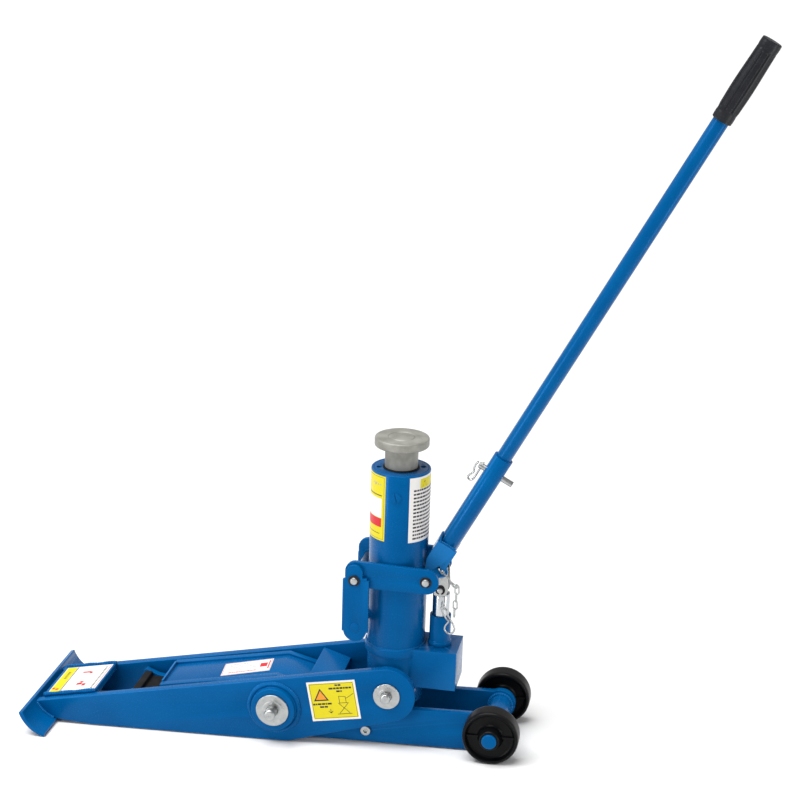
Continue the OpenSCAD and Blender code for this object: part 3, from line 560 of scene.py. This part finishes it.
def bar(x0, z0, x1, z1):
    """Cells of an upright rectangle, in columns that can follow a curved wall."""
    columns = max(1, ceil((x1 - x0) / COLUMN_MM))
    xs = [x0 + (x1 - x0) * i / columns for i in range(columns + 1)]
    return [((a, z0), (b, z0), (b, z1), (a, z1)) for a, b in zip(xs, xs[1:])]


def frame_of(x0, z0, x1, z1, width):
    """Cells of a rectangular border drawn inside the given corners."""
    return (bar(x0, z0, x1, z0 + width) + bar(x0, z1 - width, x1, z1)
            + bar(x0, z0 + width, x0 + width, z1 - width)
            + bar(x1 - width, z0 + width, x1, z1 - width))


def line(x0, z0, x1, z1, width):
    """One cell: a straight stroke between two points."""
    along = Vector((x1 - x0, z1 - z0)).normalized() * width / 2
    return [((x0 + along.y, z0 - along.x), (x1 + along.y, z1 - along.x),
             (x1 - along.y, z1 + along.x), (x0 - along.y, z0 + along.x))]


def row_of_bars(chance, x0, x1, z, height):
    """Cells of a row of short bars of uneven length with gaps between them."""
    cells, x = [], x0
    while x < x1 - 1.5:
        length = min(1.6 + 4.2 * chance.random(), x1 - x)
        cells += bar(x, z, x + length, z + height)
        x += length + 0.8
    return cells


def printed(name, body, place, layers):
    """A label of thin layers; place takes x, z and height above the wall, all in mm."""
    verts, faces, finishes = [], [], []
    for ink_name, low, high, cells in layers:
        points = {}
        for cell in cells:
            for corner in cell:
                points.setdefault(corner, len(points))
        base, count = len(verts), len(points)
        verts += [place(x, z, low) for x, z in points] + [place(x, z, high) for x, z in points]
        rims = set()
        start = len(faces)
        for cell in cells:
            ids = [points[corner] for corner in cell]
            faces.append(tuple(base + count + i for i in ids))
            faces.append(tuple(base + i for i in reversed(ids)))
            rims |= set(zip(ids, ids[1:] + ids[:1]))
        for a, b in sorted(rims):
            if (b, a) not in rims:
                faces.append((base + a, base + b, base + count + b, base + count + a))
        finishes += [ink_name] * (len(faces) - start)
    piece = build(name, verts, faces, inks[layers[0][0]], body, "label_film")
    slots = {layers[0][0]: 0}
    for ink_name in finishes:
        if ink_name not in slots:
            slots[ink_name] = len(slots)
            piece.data.materials.append(inks[ink_name])
    piece.data.polygons.foreach_set("material_index", [slots[n] for n in finishes])
    return piece


def on_plane(origin, along, up):
    """A place on a flat wall: x runs along, z runs up, and height stands off the wall."""
    along, up = Vector(along).normalized(), Vector(up).normalized()
    off = along.cross(up)
    return lambda x, z, height: Vector(origin) + along * x + up * z + off * height


# The arm label shows a plain triangle, two groups of bars and an outline of a stand.
ARM_LABEL_X = -56.4
ARM_LABEL_Z = 67.2
ARM_LABEL_TILT = radians(8.5)
words = random.Random(11)
half_w, half_h = 33.5, 28.5
tilt_cos, tilt_sin = cos(ARM_LABEL_TILT), sin(ARM_LABEL_TILT)
triangle = [(-27, 0.5), (-6, 0.5), (-16.5, 18.5)]
inner = [(-24, 2.3), (-9, 2.3), (-16.5, 15.2)]
field = bar(-half_w + 2.6, -half_h + 2.6, half_w - 2.6, half_h - 2.6)
printed("arm_label", "lift_arms",
        on_plane((ARM_LABEL_X, -arm_out, ARM_LABEL_Z), (tilt_cos, 0, tilt_sin),
                 (-tilt_sin, 0, tilt_cos)),
        [("white", 0, FILM_MM, bar(-half_w, -half_h, half_w, half_h)),
         ("yellow", FILM_MM / 2, INK_MM, field),
         ("black", INK_MM / 2, INK_MM + 0.04, frame_of(-half_w + 3.4, -half_h + 3.4,
                                                     half_w - 3.4, half_h - 3.4, 0.5)
          + row_of_bars(words, 5, 15, 21, 2.4) + row_of_bars(words, -4, 27, 16.4, 2.6)
          + row_of_bars(words, 6, 16, 12, 2.4) + row_of_bars(words, -29, -2, -5.4, 2.6)
          + row_of_bars(words, -20, -8, -9.6, 2.4) + [tuple(triangle)]
          + line(6, -19, 20, -4, 0.7) + line(20, -19, 6, -4, 0.7) + line(7, -4, 19, -4, 0.7)
          + line(8, -4, 8, 6, 0.7) + line(17, -4, 17, 5, 0.7) + line(17, 2, 29, 9, 0.7)
          + line(3, -20, 23, -20, 0.8) + line(8, 6, 17, 5, 0.7) + line(-6, -12, -6, -18, 0.8)
          + line(-9, -15, -6, -18, 0.8) + line(-3, -15, -6, -18, 0.8)),
         ("orange", INK_MM, INK_MM + 0.06, [tuple(inner)])])

# The cover label is white with grey rows and a red block at its right-hand end.
COVER_LABEL_X = -190.5
COVER_SLOPE = radians(9.38)
COVER_DROP = 2.5
COVER_TURN = radians(5)
cover_z = (size_of("base_plate_near")[1].z - COVER_DROP
           + (COVER_LABEL_X - pivot_at.x) * tan(COVER_SLOPE))
ramp_x = Vector((cos(COVER_SLOPE), 0, sin(COVER_SLOPE)))
across_y = Vector((0, 1, 0))
printed("cover_label", "base_frame",
        on_plane((COVER_LABEL_X, 0.5, cover_z),
                 ramp_x * cos(COVER_TURN) + across_y * sin(COVER_TURN),
                 across_y * cos(COVER_TURN) - ramp_x * sin(COVER_TURN)),
        [("white", 0, FILM_MM, bar(-34.5, -19.5, 34.5, 19.5)),
         ("red", FILM_MM / 2, INK_MM, frame_of(-33.5, -18.5, 33.5, 18.5, 0.6)
          + bar(18, -4, 28, 8) + bar(29.6, -12, 31.4, 14) + row_of_bars(words, -25, 14, -14, 2.4)),
         ("grey", FILM_MM / 2, INK_MM, row_of_bars(words, -27, 2, 12, 2)
          + [cell for z in (7, 2.5, -2, -6.5) for cell in row_of_bars(words, -27, 13, z, 1.5)])])

# The bridge label covers the bridge: a yellow end, a dark rule, then white with small marks.
on_bridge = on_plane((bridge_x0, 0, arm_top(bridge_x0)),
                     (cos(ARM_SLOPE), 0, sin(ARM_SLOPE)), (0, 1, 0))
BRIDGE_LEN = 77
BRIDGE_INSET = 4
half_b = arm_in - BRIDGE_INSET
printed("bridge_label", "lift_arms", on_bridge,
        [("white", 0, FILM_MM, bar(BRIDGE_INSET - 1, -half_b, BRIDGE_LEN - 4.5, half_b)),
         ("yellow", FILM_MM / 2, INK_MM, bar(BRIDGE_INSET, -half_b + 1, 19, half_b - 1)),
         ("black", FILM_MM / 2, INK_MM + 0.03, bar(19.6, -half_b + 1, 20.8, half_b - 1)
          + [cell for i in range(6) for cell in line(10, 4 + 4 * i, 14, 4 + 4 * i, 1.8)]
          + [cell for i in range(16) for cell in line(64, -34 + 4.4 * i, 67, -34 + 4.4 * i, 2.2)]),
         ("red", FILM_MM / 2, INK_MM + 0.04, bar(5, -30, 9, -25) + bar(11, -33, 15, -28)
          + bar(38, -21, 46, -15) + bar(47, -25, 52, -18) + bar(41, -14, 46, -10)
          + bar(34, 18, 46, 22) + bar(45, 15, 49, 20) + bar(70, -half_b + 2, 70.8, half_b - 2)),
         ("grey", FILM_MM / 2, INK_MM, frame_of(24, -24, 33, -8, 0.5) + frame_of(24, 8, 33, 24, 0.5)
          + [cell for z in (-21, -17, -13, 11, 15, 19)
             for cell in row_of_bars(words, 26, 32, z, 1)])])

# ----------------------
# Hydraulic unit: a forged block on two trunnions, with the oil tank welded to a flange
# on its top. The cylinder inside the tank ends in a gland at the bottom and a slotted
# nut at the top; tank, block and nut are sprayed blue as one.
# ----------------------
foot_at = joint_at["ram_foot"]
unit_axis = (trunnion_at - foot_at).normalized()
LEAN = atan2(unit_axis.x, unit_axis.z)
unit_frame = Matrix.Translation(trunnion_at) @ Matrix.Rotation(LEAN, 4, "Y")
BLOCK_TOP = 59.1
FLANGE_H = 11.5
FLANGE_R = 41.5
TANK_R = 39.2
TANK_WALL = 3.5
TANK_TOP = 304.1
CYLINDER_R = 28


def round_unit(radius, height, count=96):
    """Points of a circle about the unit's axis."""
    turns = [2 * pi * i / count for i in range(count)]
    return [unit_frame @ Vector((radius * cos(a), radius * sin(a), height)) for a in turns]


for part, edge in (("pump_block", 1.4), ("top_nut", 0.8), ("filler_plug", 0.4)):
    softened(part, "hydraulic_unit", enamel, "blue_enamel", edge)

stand_in("tank_tube", "drawn", turn(eased([
    (TANK_R - TANK_WALL, BLOCK_TOP), (TANK_R, BLOCK_TOP), (TANK_R, TANK_TOP),
    (TANK_R - TANK_WALL, TANK_TOP)], 1.4), unit_frame, 128),
    enamel, "hydraulic_unit", "blue_enamel")
stand_in("base_flange", "turned", turn(eased([
    (CYLINDER_R, BLOCK_TOP - FLANGE_H), (FLANGE_R, BLOCK_TOP - FLANGE_H),
    (FLANGE_R, BLOCK_TOP - 1), (FLANGE_R - 1.6, BLOCK_TOP), (CYLINDER_R, BLOCK_TOP)], 1),
    unit_frame, 128), enamel, "hydraulic_unit", "blue_enamel")
weld("tank_foot_weld", round_unit(TANK_R, BLOCK_TOP), 1.5, "hydraulic_unit", closed=True)
weld("block_flange_weld", round_unit(FLANGE_R - 2.4, BLOCK_TOP - FLANGE_H), 1.3,
     "hydraulic_unit", closed=True)

# Honed steel: drawn over mandrel tube, ground inside; fine rings run round it.
HONE_MM = 0.7
honed, tree, shader, mm = material("honed_steel_tube", [("Metallic", 1)])
rings = add(tree, "ShaderNodeTexWave", [
    ("Vector", mm), ("Scale", 1 / HONE_MM), ("Distortion", 1.5),
    ("Detail", 2)], bands_direction="Z")
steel = add(tree, "ShaderNodeMix", [
    ("Factor", rings.outputs["Fac"]), (6, linear("#86898B")),
    (7, linear("#A5A8AA"))], data_type="RGBA")
tooth = add(tree, "ShaderNodeMapRange", [
    ("Value", rings.outputs["Fac"]), ("To Min", 0.25), ("To Max", 0.4)])
wire(tree, shader, steel.outputs[2], tooth.outputs[0])
frame["nodes"]["working_cylinder"].material_slots[0].material = honed

# Wiper ring and piston seal: black nitrile rubber, pressed into their grooves.
stand_in("wiper_ring", "moulded", turn(eased([
    (22, TANK_TOP), (24.2, TANK_TOP), (24.2, TANK_TOP + 0.8), (22.6, TANK_TOP + 1.8),
    (22, TANK_TOP + 1.8)], 0.4), unit_frame, 96), rubber, "hydraulic_unit", "black_rubber")
frame["nodes"]["piston_seal"].material_slots[0].material = rubber

# Saddle: cast iron, machined on its rim, under a coat of warm grey paint that rounds the
# corners and shows the sand of the casting. A shallow ring is turned in its top face.
CAST_MM = 2.2
BLOTCH_MM = 18
NECK_R = 22
NECK_LEN = 30
SADDLE_R = 35.9
SADDLE_T = 12
cast, tree, shader, mm = material("grey_paint_on_cast_iron", [("IOR", 1.5), ("Metallic", 0.15)])
sand = add(tree, "ShaderNodeTexNoise", [("Vector", mm), ("Scale", 1 / CAST_MM), ("Detail", 6)])
wear = add(tree, "ShaderNodeTexNoise", [("Vector", mm), ("Scale", 1 / BLOTCH_MM), ("Detail", 4)])
blotch = add(tree, "ShaderNodeMapRange", [
    ("Value", wear.outputs["Fac"]), ("From Min", 0.35), ("From Max", 0.7)])
grey_coat = add(tree, "ShaderNodeMix", [
    ("Factor", blotch.outputs[0]), (6, linear("#75746D")),
    (7, linear("#8F8E87"))], data_type="RGBA")
cast_gloss = add(tree, "ShaderNodeMapRange", [
    ("Value", sand.outputs["Fac"]), ("To Min", 0.34), ("To Max", 0.62)])
sandy = add(tree, "ShaderNodeBump", [
    ("Height", sand.outputs["Fac"]), ("Strength", 0.3), ("Distance", 0.0005)])
wire(tree, shader, grey_coat.outputs[2], cast_gloss.outputs[0], sandy.outputs[0])
disc_low, disc_top = TANK_TOP + NECK_LEN, TANK_TOP + NECK_LEN + SADDLE_T
stand_in("saddle", "cast", turn(eased([
    (0, TANK_TOP - 14), (NECK_R - 0.1, TANK_TOP - 14), (NECK_R - 0.1, disc_low - 2),
    (NECK_R + 1.4, disc_low), (SADDLE_R - 1.2, disc_low), (SADDLE_R, disc_low + 1.4),
    (SADDLE_R, disc_top - 1.4), (SADDLE_R - 1.6, disc_top), (19, disc_top), (18, disc_top - 0.9),
    (16.6, disc_top - 0.9), (15.6, disc_top), (6, disc_top), (0, disc_top - 0.3)],
    1, closed=False), unit_frame, 112, closed=False), cast, "hydraulic_unit", "saddle_paint")

# Yoke: two plates welded to the sides of the tank, carrying the bail's pin in front and the
# handle's fulcrum behind. A bead runs up each plate where it meets the tank.
for plate in ("yoke_near", "yoke_far"):
    softened(plate, "hydraulic_unit", enamel, "blue_enamel", PLATE_EDGE)
YOKE_LOW = 147
for side_name, side in SIDES:
    weld(f"yoke_weld_{side_name}",
         [unit_frame @ Vector((u, side * (sqrt(TANK_R ** 2 - u * u) + 0.4), YOKE_LOW + 0.2))
          for u in range(-9, 10, 3)], 1.3, "hydraulic_unit")
OXIDE_MM = 3
clip_black, tree, shader, mm = material("black_oxide_spring_steel", [("Metallic", 0.7)])
patina = add(tree, "ShaderNodeTexNoise", [("Vector", mm), ("Scale", 1 / OXIDE_MM), ("Detail", 3)])
oxide = add(tree, "ShaderNodeMix", [
    ("Factor", patina.outputs["Fac"]), (6, linear("#141416")),
    (7, linear("#2C2C30"))], data_type="RGBA")
oil = add(tree, "ShaderNodeMapRange", [
    ("Value", patina.outputs["Fac"]), ("To Min", 0.35), ("To Max", 0.55)])
wire(tree, shader, oxide.outputs[2], oil.outputs[0])
softened("pin_circlips", "hydraulic_unit", clip_black, "black_oxide", 0.2)
softened("plunger_circlips", "plunger", clip_black, "black_oxide", 0.2)

# Ram: solid steel, ground and hard-chromed on the stroke, with a forged eye at its foot.
GRIND_MM = 0.9
chrome, tree, shader, mm = material("hard_chrome", [("Metallic", 1)])
grind = add(tree, "ShaderNodeTexWave", [
    ("Vector", mm), ("Scale", 1 / GRIND_MM), ("Distortion", 2), ("Detail", 2)], bands_direction="Z")
bright = add(tree, "ShaderNodeMix", [
    ("Factor", grind.outputs["Fac"]), (6, linear("#A9ADB2")),
    (7, linear("#C6CACE"))], data_type="RGBA")
polish = add(tree, "ShaderNodeMapRange", [
    ("Value", grind.outputs["Fac"]), ("To Min", 0.07), ("To Max", 0.14)])
wire(tree, shader, bright.outputs[2], polish.outputs[0])
softened("ram", "ram", chrome, "chrome_rod", 0.6)

# ----------------------
# Tank labels: two films wrapped round the front of the tank, one yellow with a white
# panel and a red bar, the other white with a yellow box and many rows of bars.
# ----------------------
GLUE_MM = 0.02


def on_tank(start):
    """A place on the tank's wall; x runs to the right from an angle off the near side."""
    def place(x, z, height):
        angle = radians(start) - x / TANK_R
        reach = TANK_R + GLUE_MM + height
        return unit_frame @ Vector((-sin(angle) * reach, -cos(angle) * reach, z))
    return place


LEFT_EDGE, LEFT_LEN = 107, 59.9
LABEL_LOW, LABEL_HIGH = 212, 301.5
printed("tank_label_left", "hydraulic_unit", on_tank(LEFT_EDGE),
        [("yellow", 0, FILM_MM, bar(0, LABEL_LOW, LEFT_LEN, LABEL_HIGH)),
         ("black", FILM_MM / 2, INK_MM,
          frame_of(2, LABEL_LOW + 2, LEFT_LEN - 2, LABEL_HIGH - 2, 0.4)
          + bar(5, 273.5, LEFT_LEN - 5.5, 274.8) + bar(5, 221, LEFT_LEN - 8, 221.8)),
         ("white", FILM_MM / 2, INK_MM, bar(5, 243.5, LEFT_LEN - 5.5, 270)),
         ("red", FILM_MM / 2, INK_MM, bar(5, 230.5, LEFT_LEN - 5.5, 242.8)),
         ("grey", INK_MM / 2, INK_MM + 0.03,
          [((LEFT_LEN - 21, 291.5), (LEFT_LEN - 17.5, 286), (LEFT_LEN - 14, 291.5))]
          + line(LEFT_LEN - 32, 289, LEFT_LEN - 22, 289, 1.6)
          + line(LEFT_LEN - 13, 289, LEFT_LEN - 7, 289, 1.6))])
RIGHT_EDGE, RIGHT_LEN = -27.5, 59.9
ROWS = 14
ROW_STEP = 5.1
text_rows = [cell for i in range(ROWS)
             for cell in row_of_bars(words, 6, RIGHT_LEN - 5 - 9 * words.random(),
                                     LABEL_LOW + 4 + ROW_STEP * i, 2.5)]
printed("tank_label_right", "hydraulic_unit", on_tank(RIGHT_EDGE), [
    ("white", 0, FILM_MM, bar(0, LABEL_LOW, RIGHT_LEN, LABEL_HIGH)),
    ("yellow", FILM_MM / 2, INK_MM, bar(16, 285.5, RIGHT_LEN - 14, 298.5)),
    ("black", FILM_MM / 2, INK_MM + 0.04, text_rows + [((20, 287.5), (28, 287.5), (24, 296))])])

# ----------------------
# Carrying bail: two pressed plates on the front pin, joined by a bar riveted at the foot.
# They hang against the yoke and swing up to carry the jack.
# ----------------------
for part, edge in (("bail_near", 1), ("bail_far", 1), ("bail_bar", 0.8)):
    softened(part, "bail", enamel, "blue_enamel", edge)

# ----------------------
# Hand pump: a turned barrel on the block, a chromed plunger, and twin zinc-plated links
# whose cross slots take the crank pin of the handle.
# ----------------------
PUMP_U = 59.6
BARREL_R = 14.3
BARREL_H = 43
PLUNGER_R = 11.5
pump_frame = unit_frame @ Matrix.Translation((PUMP_U, 0, BLOCK_TOP))
stand_in("pump_barrel", "turned", turn(eased([
    (PLUNGER_R + 0.3, 0), (BARREL_R + 1.7, 0), (BARREL_R + 1.7, 5), (BARREL_R, 6.6),
    (BARREL_R, BARREL_H), (PLUNGER_R + 0.3, BARREL_H)], 1), pump_frame, 80),
    enamel, "hydraulic_unit", "blue_enamel")
softened("plunger", "plunger", chrome, "chrome_rod", 0.5)

# ----------------------
# Handle: a bent bracket on the fulcrum pin, a tube socket welded to it, and a long tube
# held in the socket by a zinc-plated pin with a spring clip.
# ----------------------
fulcrum_at = joint_at["pump_stroke"]
rod_low, rod_high = size_of("handle_rod")
ROD_R = (rod_high.y - rod_low.y) / 2
# The tube's box gives its tilt once the width of the tube itself is taken off the box.
TILT_PASSES = 8
span = rod_high - rod_low
tilt = atan2(span.x, span.z)
for _ in range(TILT_PASSES):
    tilt = atan2(span.x - 2 * ROD_R * cos(tilt), span.z - 2 * ROD_R * sin(tilt))
lever_frame = Matrix.Translation(fulcrum_at) @ Matrix.Rotation(tilt, 4, "Y")
SOCKET_R = 13.15
BRACKET_LEN = 47
BRACKET_HALF = 14.5
LOCK_S = 162
for part, edge in (("handle_bracket", PLATE_EDGE), ("handle_socket", 0.8), ("handle_rod", 0.6)):
    softened(part, "handle", enamel, "blue_enamel", edge)
for side_name, side in SIDES:
    weld(f"socket_weld_{side_name}",
         [lever_frame @ Vector((p, side * (SOCKET_R + 0.3 + 0.012 * p * p), BRACKET_LEN + 0.4))
          for p in range(-12, 13, 3)], 2, "handle")
weld("socket_weld_back", [lever_frame @ Vector((-BRACKET_HALF + 2.2, y, BRACKET_LEN + 0.6))
                          for y in range(-15, 16, 3)], 1.9, "handle")

# Spring clip: hard-drawn zinc-plated wire with a straight leg through the lock pin, an eye
# and a bowed leg that grips round it.
WIRE_R = 1.3
CLIP_P = -SOCKET_R - 5.2


def smooth_path(points, steps):
    """A Catmull-Rom curve through points."""
    points = [Vector(p) for p in points]
    path = []
    for i in range(len(points) - 1):
        a, b, c = points[max(i - 1, 0)], points[i], points[i + 1]
        d = points[min(i + 2, len(points) - 1)]
        for k in range(steps):
            t = k / steps
            path.append(0.5 * (2 * b + (c - a) * t + (2 * a - 5 * b + 4 * c - d) * t * t
                               + (3 * b - a - 3 * c + d) * t ** 3))
    return path + [points[-1]]


clip_path = smooth_path([lever_frame @ Vector((CLIP_P + p, y, LOCK_S + s)) for p, y, s in (
    (0, 0, 6), (0, 0, -8), (0, 0, -19), (-1.4, 0.4, -23.5), (-4.6, 0.9, -25.2), (-7.6, 1.3, -22.8),
    (-6.6, 1.2, -18.5), (-4.6, 0.8, -13), (-6.8, 0.4, -7), (-7.4, 0.2, -1.5), (-6.2, 0, 3))], 7)
stand_in("lock_clip", "wire", sweep(clip_path, WIRE_R, 12), zinc, "handle", "zinc_plate")

# Grip: moulded black PVC with a plain collar at each end and long grooves between, so that
# ridges with rounded ends stand out over a slight swell.
GRIP_LEN = 110
HANDLE_LEN = 808
COLLAR_MM = 13
GROOVES = 10
GROOVE_MM = 1.3
GRIP_R = 13
HAZE_MM = 9
grip_plastic, tree, shader, mm = material("black_moulded_pvc", [
    ("IOR", 1.53), ("Specular IOR Level", 0.15)])
haze = add(tree, "ShaderNodeTexNoise", [("Vector", mm), ("Scale", 1 / HAZE_MM), ("Detail", 5)])
pvc = add(tree, "ShaderNodeMix", [
    ("Factor", haze.outputs["Fac"]), (6, linear("#101114")),
    (7, linear("#25262B"))], data_type="RGBA")
pvc_gloss = add(tree, "ShaderNodeMapRange", [
    ("Value", haze.outputs["Fac"]), ("To Min", 0.3), ("To Max", 0.5)])
wire(tree, shader, pvc.outputs[2], pvc_gloss.outputs[0])
grip_low = HANDLE_LEN - GRIP_LEN
grip_verts, grip_faces = [], []
GRIP_SIDES = 120
GRIP_RINGS = 110
outline = [(ROD_R, grip_low), (12.2, grip_low), (GRIP_R, grip_low + 0.9)]
outline += [(None, grip_low + 0.9 + (GRIP_LEN - 1.8) * i / GRIP_RINGS)
            for i in range(1, GRIP_RINGS)]
outline += [(GRIP_R, HANDLE_LEN - 0.9), (12, HANDLE_LEN), (0, HANDLE_LEN)]


def grip_radius(s, angle):
    """Radius of the grip at a height above its lower end, with the grooves cut in."""
    inside = min(s - COLLAR_MM, GRIP_LEN - COLLAR_MM - s)
    swell = 12.9 + 1.15 * exp(-((s - 0.42 * GRIP_LEN) / 34) ** 2)
    collar = GRIP_R - 0.25 * cos(2 * pi * min(s, GRIP_LEN - s) / COLLAR_MM)
    if inside <= 0:
        return min(collar, GRIP_R + 0.1)
    ease = min(1, inside / 5)
    ease = ease * ease * (3 - 2 * ease)
    wave = max(0, cos(GROOVES * angle)) ** 0.6
    return (1 - ease) * GRIP_R + ease * swell - GROOVE_MM * ease * wave


for radius, height in outline:
    if radius == 0:
        grip_verts.append(lever_frame @ Vector((0, 0, height)))
        continue
    for k in range(GRIP_SIDES):
        angle = 2 * pi * k / GRIP_SIDES
        r = grip_radius(height - grip_low, angle) if radius is None else radius
        grip_verts.append(lever_frame @ Vector((r * cos(angle), r * sin(angle), height)))
for ring in range(len(outline) - 2):
    for k in range(GRIP_SIDES):
        a, b = ring * GRIP_SIDES + k, ring * GRIP_SIDES + (k + 1) % GRIP_SIDES
        grip_faces.append((a, b, b + GRIP_SIDES, a + GRIP_SIDES))
last = (len(outline) - 2) * GRIP_SIDES
grip_faces += [(last + k, last + (k + 1) % GRIP_SIDES, len(grip_verts) - 1)
               for k in range(GRIP_SIDES)]
grip_faces.append(tuple(reversed(range(GRIP_SIDES))))
stand_in("handle_grip", "moulded", (grip_verts, grip_faces), grip_plastic, "handle", "grip_plastic")

# ----------------------
# Keeper: a wire ring through the bracket, four links of zinc-plated chain and a spring clip
# that pins the handle down for storage. It hangs straight under its own weight.
# ----------------------
keeper_at = joint_at["keeper_swing"]
chain_low, chain_high = size_of("keeper_chain")
CHAIN_Y = (chain_low.y + chain_high.y) / 2
CHAIN_WIRE = 1.05
RING_WIRE = 1.1
CLIP_WIRE = 1.25
LINK_SIDES = 28
LINK_LEN = 14
LINK_W = 7.2
PITCH = LINK_LEN - 3 * CHAIN_WIRE
ring_end = Vector((keeper_at.x + 25, CHAIN_Y, keeper_at.z - 23.5))
ring_wire = smooth_path([(keeper_at.x + x, y, keeper_at.z - drop) for x, y, drop in (
    (0, -13.6, 0), (0.1, -17, 0), (0.6, -20.6, 0.4), (3.4, CHAIN_Y, 3.4), (9, CHAIN_Y, 6.2),
    (14, CHAIN_Y, 12), (19.5, CHAIN_Y, 18.6), (24.4, CHAIN_Y, 19.8), (26, CHAIN_Y, 22.4),
    (24.2, CHAIN_Y, 24.4), (20.8, CHAIN_Y, 23), (16, CHAIN_Y, 17.4))], 8)
stand_in("keeper_ring", "wire", sweep(ring_wire, RING_WIRE, 12), zinc, "keeper", "zinc_plate")

links = []
for i in range(4):
    top = Vector((ring_end.x - 1.2 * i, CHAIN_Y, ring_end.z + 3.5 - PITCH * i))
    face_on = Matrix.Rotation(radians(8 + 78 * (i % 2)), 4, "Z")
    bend = (LINK_W - 2 * CHAIN_WIRE) / 2
    straight = LINK_LEN / 2 - CHAIN_WIRE - bend
    loop = []
    for k in range(LINK_SIDES):
        angle = 2 * pi * (k + 0.5) / LINK_SIDES
        lift = straight if sin(angle) > 0 else -straight
        loop.append(top + face_on @ Vector((
            bend * cos(angle), 0, lift + bend * sin(angle) - LINK_LEN / 2)))
    links.append(sweep(loop, CHAIN_WIRE, 10, closed=True))
stand_in("keeper_chain", "links", join(links), zinc, "keeper", "zinc_plate")

chain_end = Vector((ring_end.x - 3.8, CHAIN_Y, ring_end.z + 3.5 - 4 * PITCH))
keeper_path = smooth_path([chain_end + Vector(p) for p in (
    (-17.5, 0, 10.5), (-15.2, 0, 3), (-11.2, 0, -5), (-7.8, 0, -9.4), (-12, 0.6, -16),
    (-13, 0.9, -22), (-8, 0.7, -27.2), (-2, 0, -25.2), (0.6, -0.6, -19), (-1.4, -0.7, -13),
    (-4.4, -0.5, -7.8), (-8.4, -0.2, -1), (-9.2, 0, 5.4), (-13.2, 0, 9.6), (-14.2, 0, 12.6))], 7)
stand_in("keeper_clip", "wire", sweep(keeper_path, CLIP_WIRE, 12), zinc, "keeper", "zinc_plate")

# ----------------------
# Studio: a pale matt floor in an even white room, a broad ceiling light, a soft box high on the
# left and a tall strip light low at each side. The camera stands in front, above the jack.
# ----------------------
FLOOR_HALF_M = 40
FIBRE_MM = 300
studio, tree, shader, mm = material("pale_paper_floor", [("Roughness", 0.9), ("IOR", 1.4)])
fibre = add(tree, "ShaderNodeTexNoise", [("Vector", mm), ("Scale", 1 / FIBRE_MM), ("Detail", 2)])
paper = add(tree, "ShaderNodeMix", [
    ("Factor", fibre.outputs["Fac"]), (6, linear("#D2D2D1")),
    (7, linear("#D6D6D6"))], data_type="RGBA")
wire(tree, shader, paper.outputs[2])
floor_mesh = bpy.data.meshes.new("floor")
floor_mesh.from_pydata([(x * FLOOR_HALF_M, y * FLOOR_HALF_M, 0)
                        for x, y in ((-1, -1), (1, -1), (1, 1), (-1, 1))], [], [(0, 1, 2, 3)])
floor_mesh.materials.append(studio)
floor = bpy.data.objects.new("floor", floor_mesh)
bpy.context.scene.collection.objects.link(floor)

world = bpy.data.worlds.new("white_room")
bpy.context.scene.world = world
world.use_nodes = True
sky_light = world.node_tree.nodes["Background"]
sky_light.inputs["Color"].default_value = linear("#FFFFFF")
sky_light.inputs["Strength"].default_value = 0.45


def soft_light(name, place, aim, width, height, power):
    """A rectangular area light aimed at a point, in metres and watts."""
    data = bpy.data.lights.new(name, "AREA")
    data.shape = "RECTANGLE"
    data.size = width
    data.size_y = height
    data.energy = power
    lamp = bpy.data.objects.new(name, data)
    lamp.location = place
    lamp.visible_camera = False
    lamp.rotation_euler = (Vector(aim) - Vector(place)).to_track_quat("-Z", "Y").to_euler()
    bpy.context.scene.collection.objects.link(lamp)


soft_light("softbox_left", (-0.95, -1.05, 0.3), (0, 0, 0.2), 0.1, 0.8, 7)
soft_light("softbox_right", (1.2, -0.5, 0.3), (0, 0, 0.2), 0.1, 0.8, 5)
soft_light("softbox_high", (-1.2, -0.6, 2.2), (0, 0, 0.3), 0.6, 0.6, 16)

sky_data = bpy.data.lights.new("ceiling", "SUN")
sky_data.energy = 3.9
sky_data.angle = radians(50)
sky = bpy.data.objects.new("ceiling", sky_data)
sky.rotation_euler = Vector((0.2, 0.15, -1)).to_track_quat("-Z", "Y").to_euler()
bpy.context.scene.collection.objects.link(sky)

CAMERA_AT = Vector((0.4607, -2.2384, 1.1843))
CAMERA_FORWARD = Vector((-0.1818, 0.9374, -0.2971))
CAMERA_ROLL = radians(-0.48)
camera_data = bpy.data.cameras.new("camera")
camera_data.lens = 83.2
camera_data.sensor_width = 36
camera = bpy.data.objects.new("camera", camera_data)
camera.location = CAMERA_AT
level = CAMERA_FORWARD.to_track_quat("-Z", "Y")
camera.rotation_euler = (Matrix.Rotation(CAMERA_ROLL, 3, CAMERA_FORWARD.normalized()).inverted()
                         @ level.to_matrix()).to_euler()
bpy.context.scene.collection.objects.link(camera)
bpy.context.scene.camera = camera
bpy.context.scene.view_settings.view_transform = "Standard"
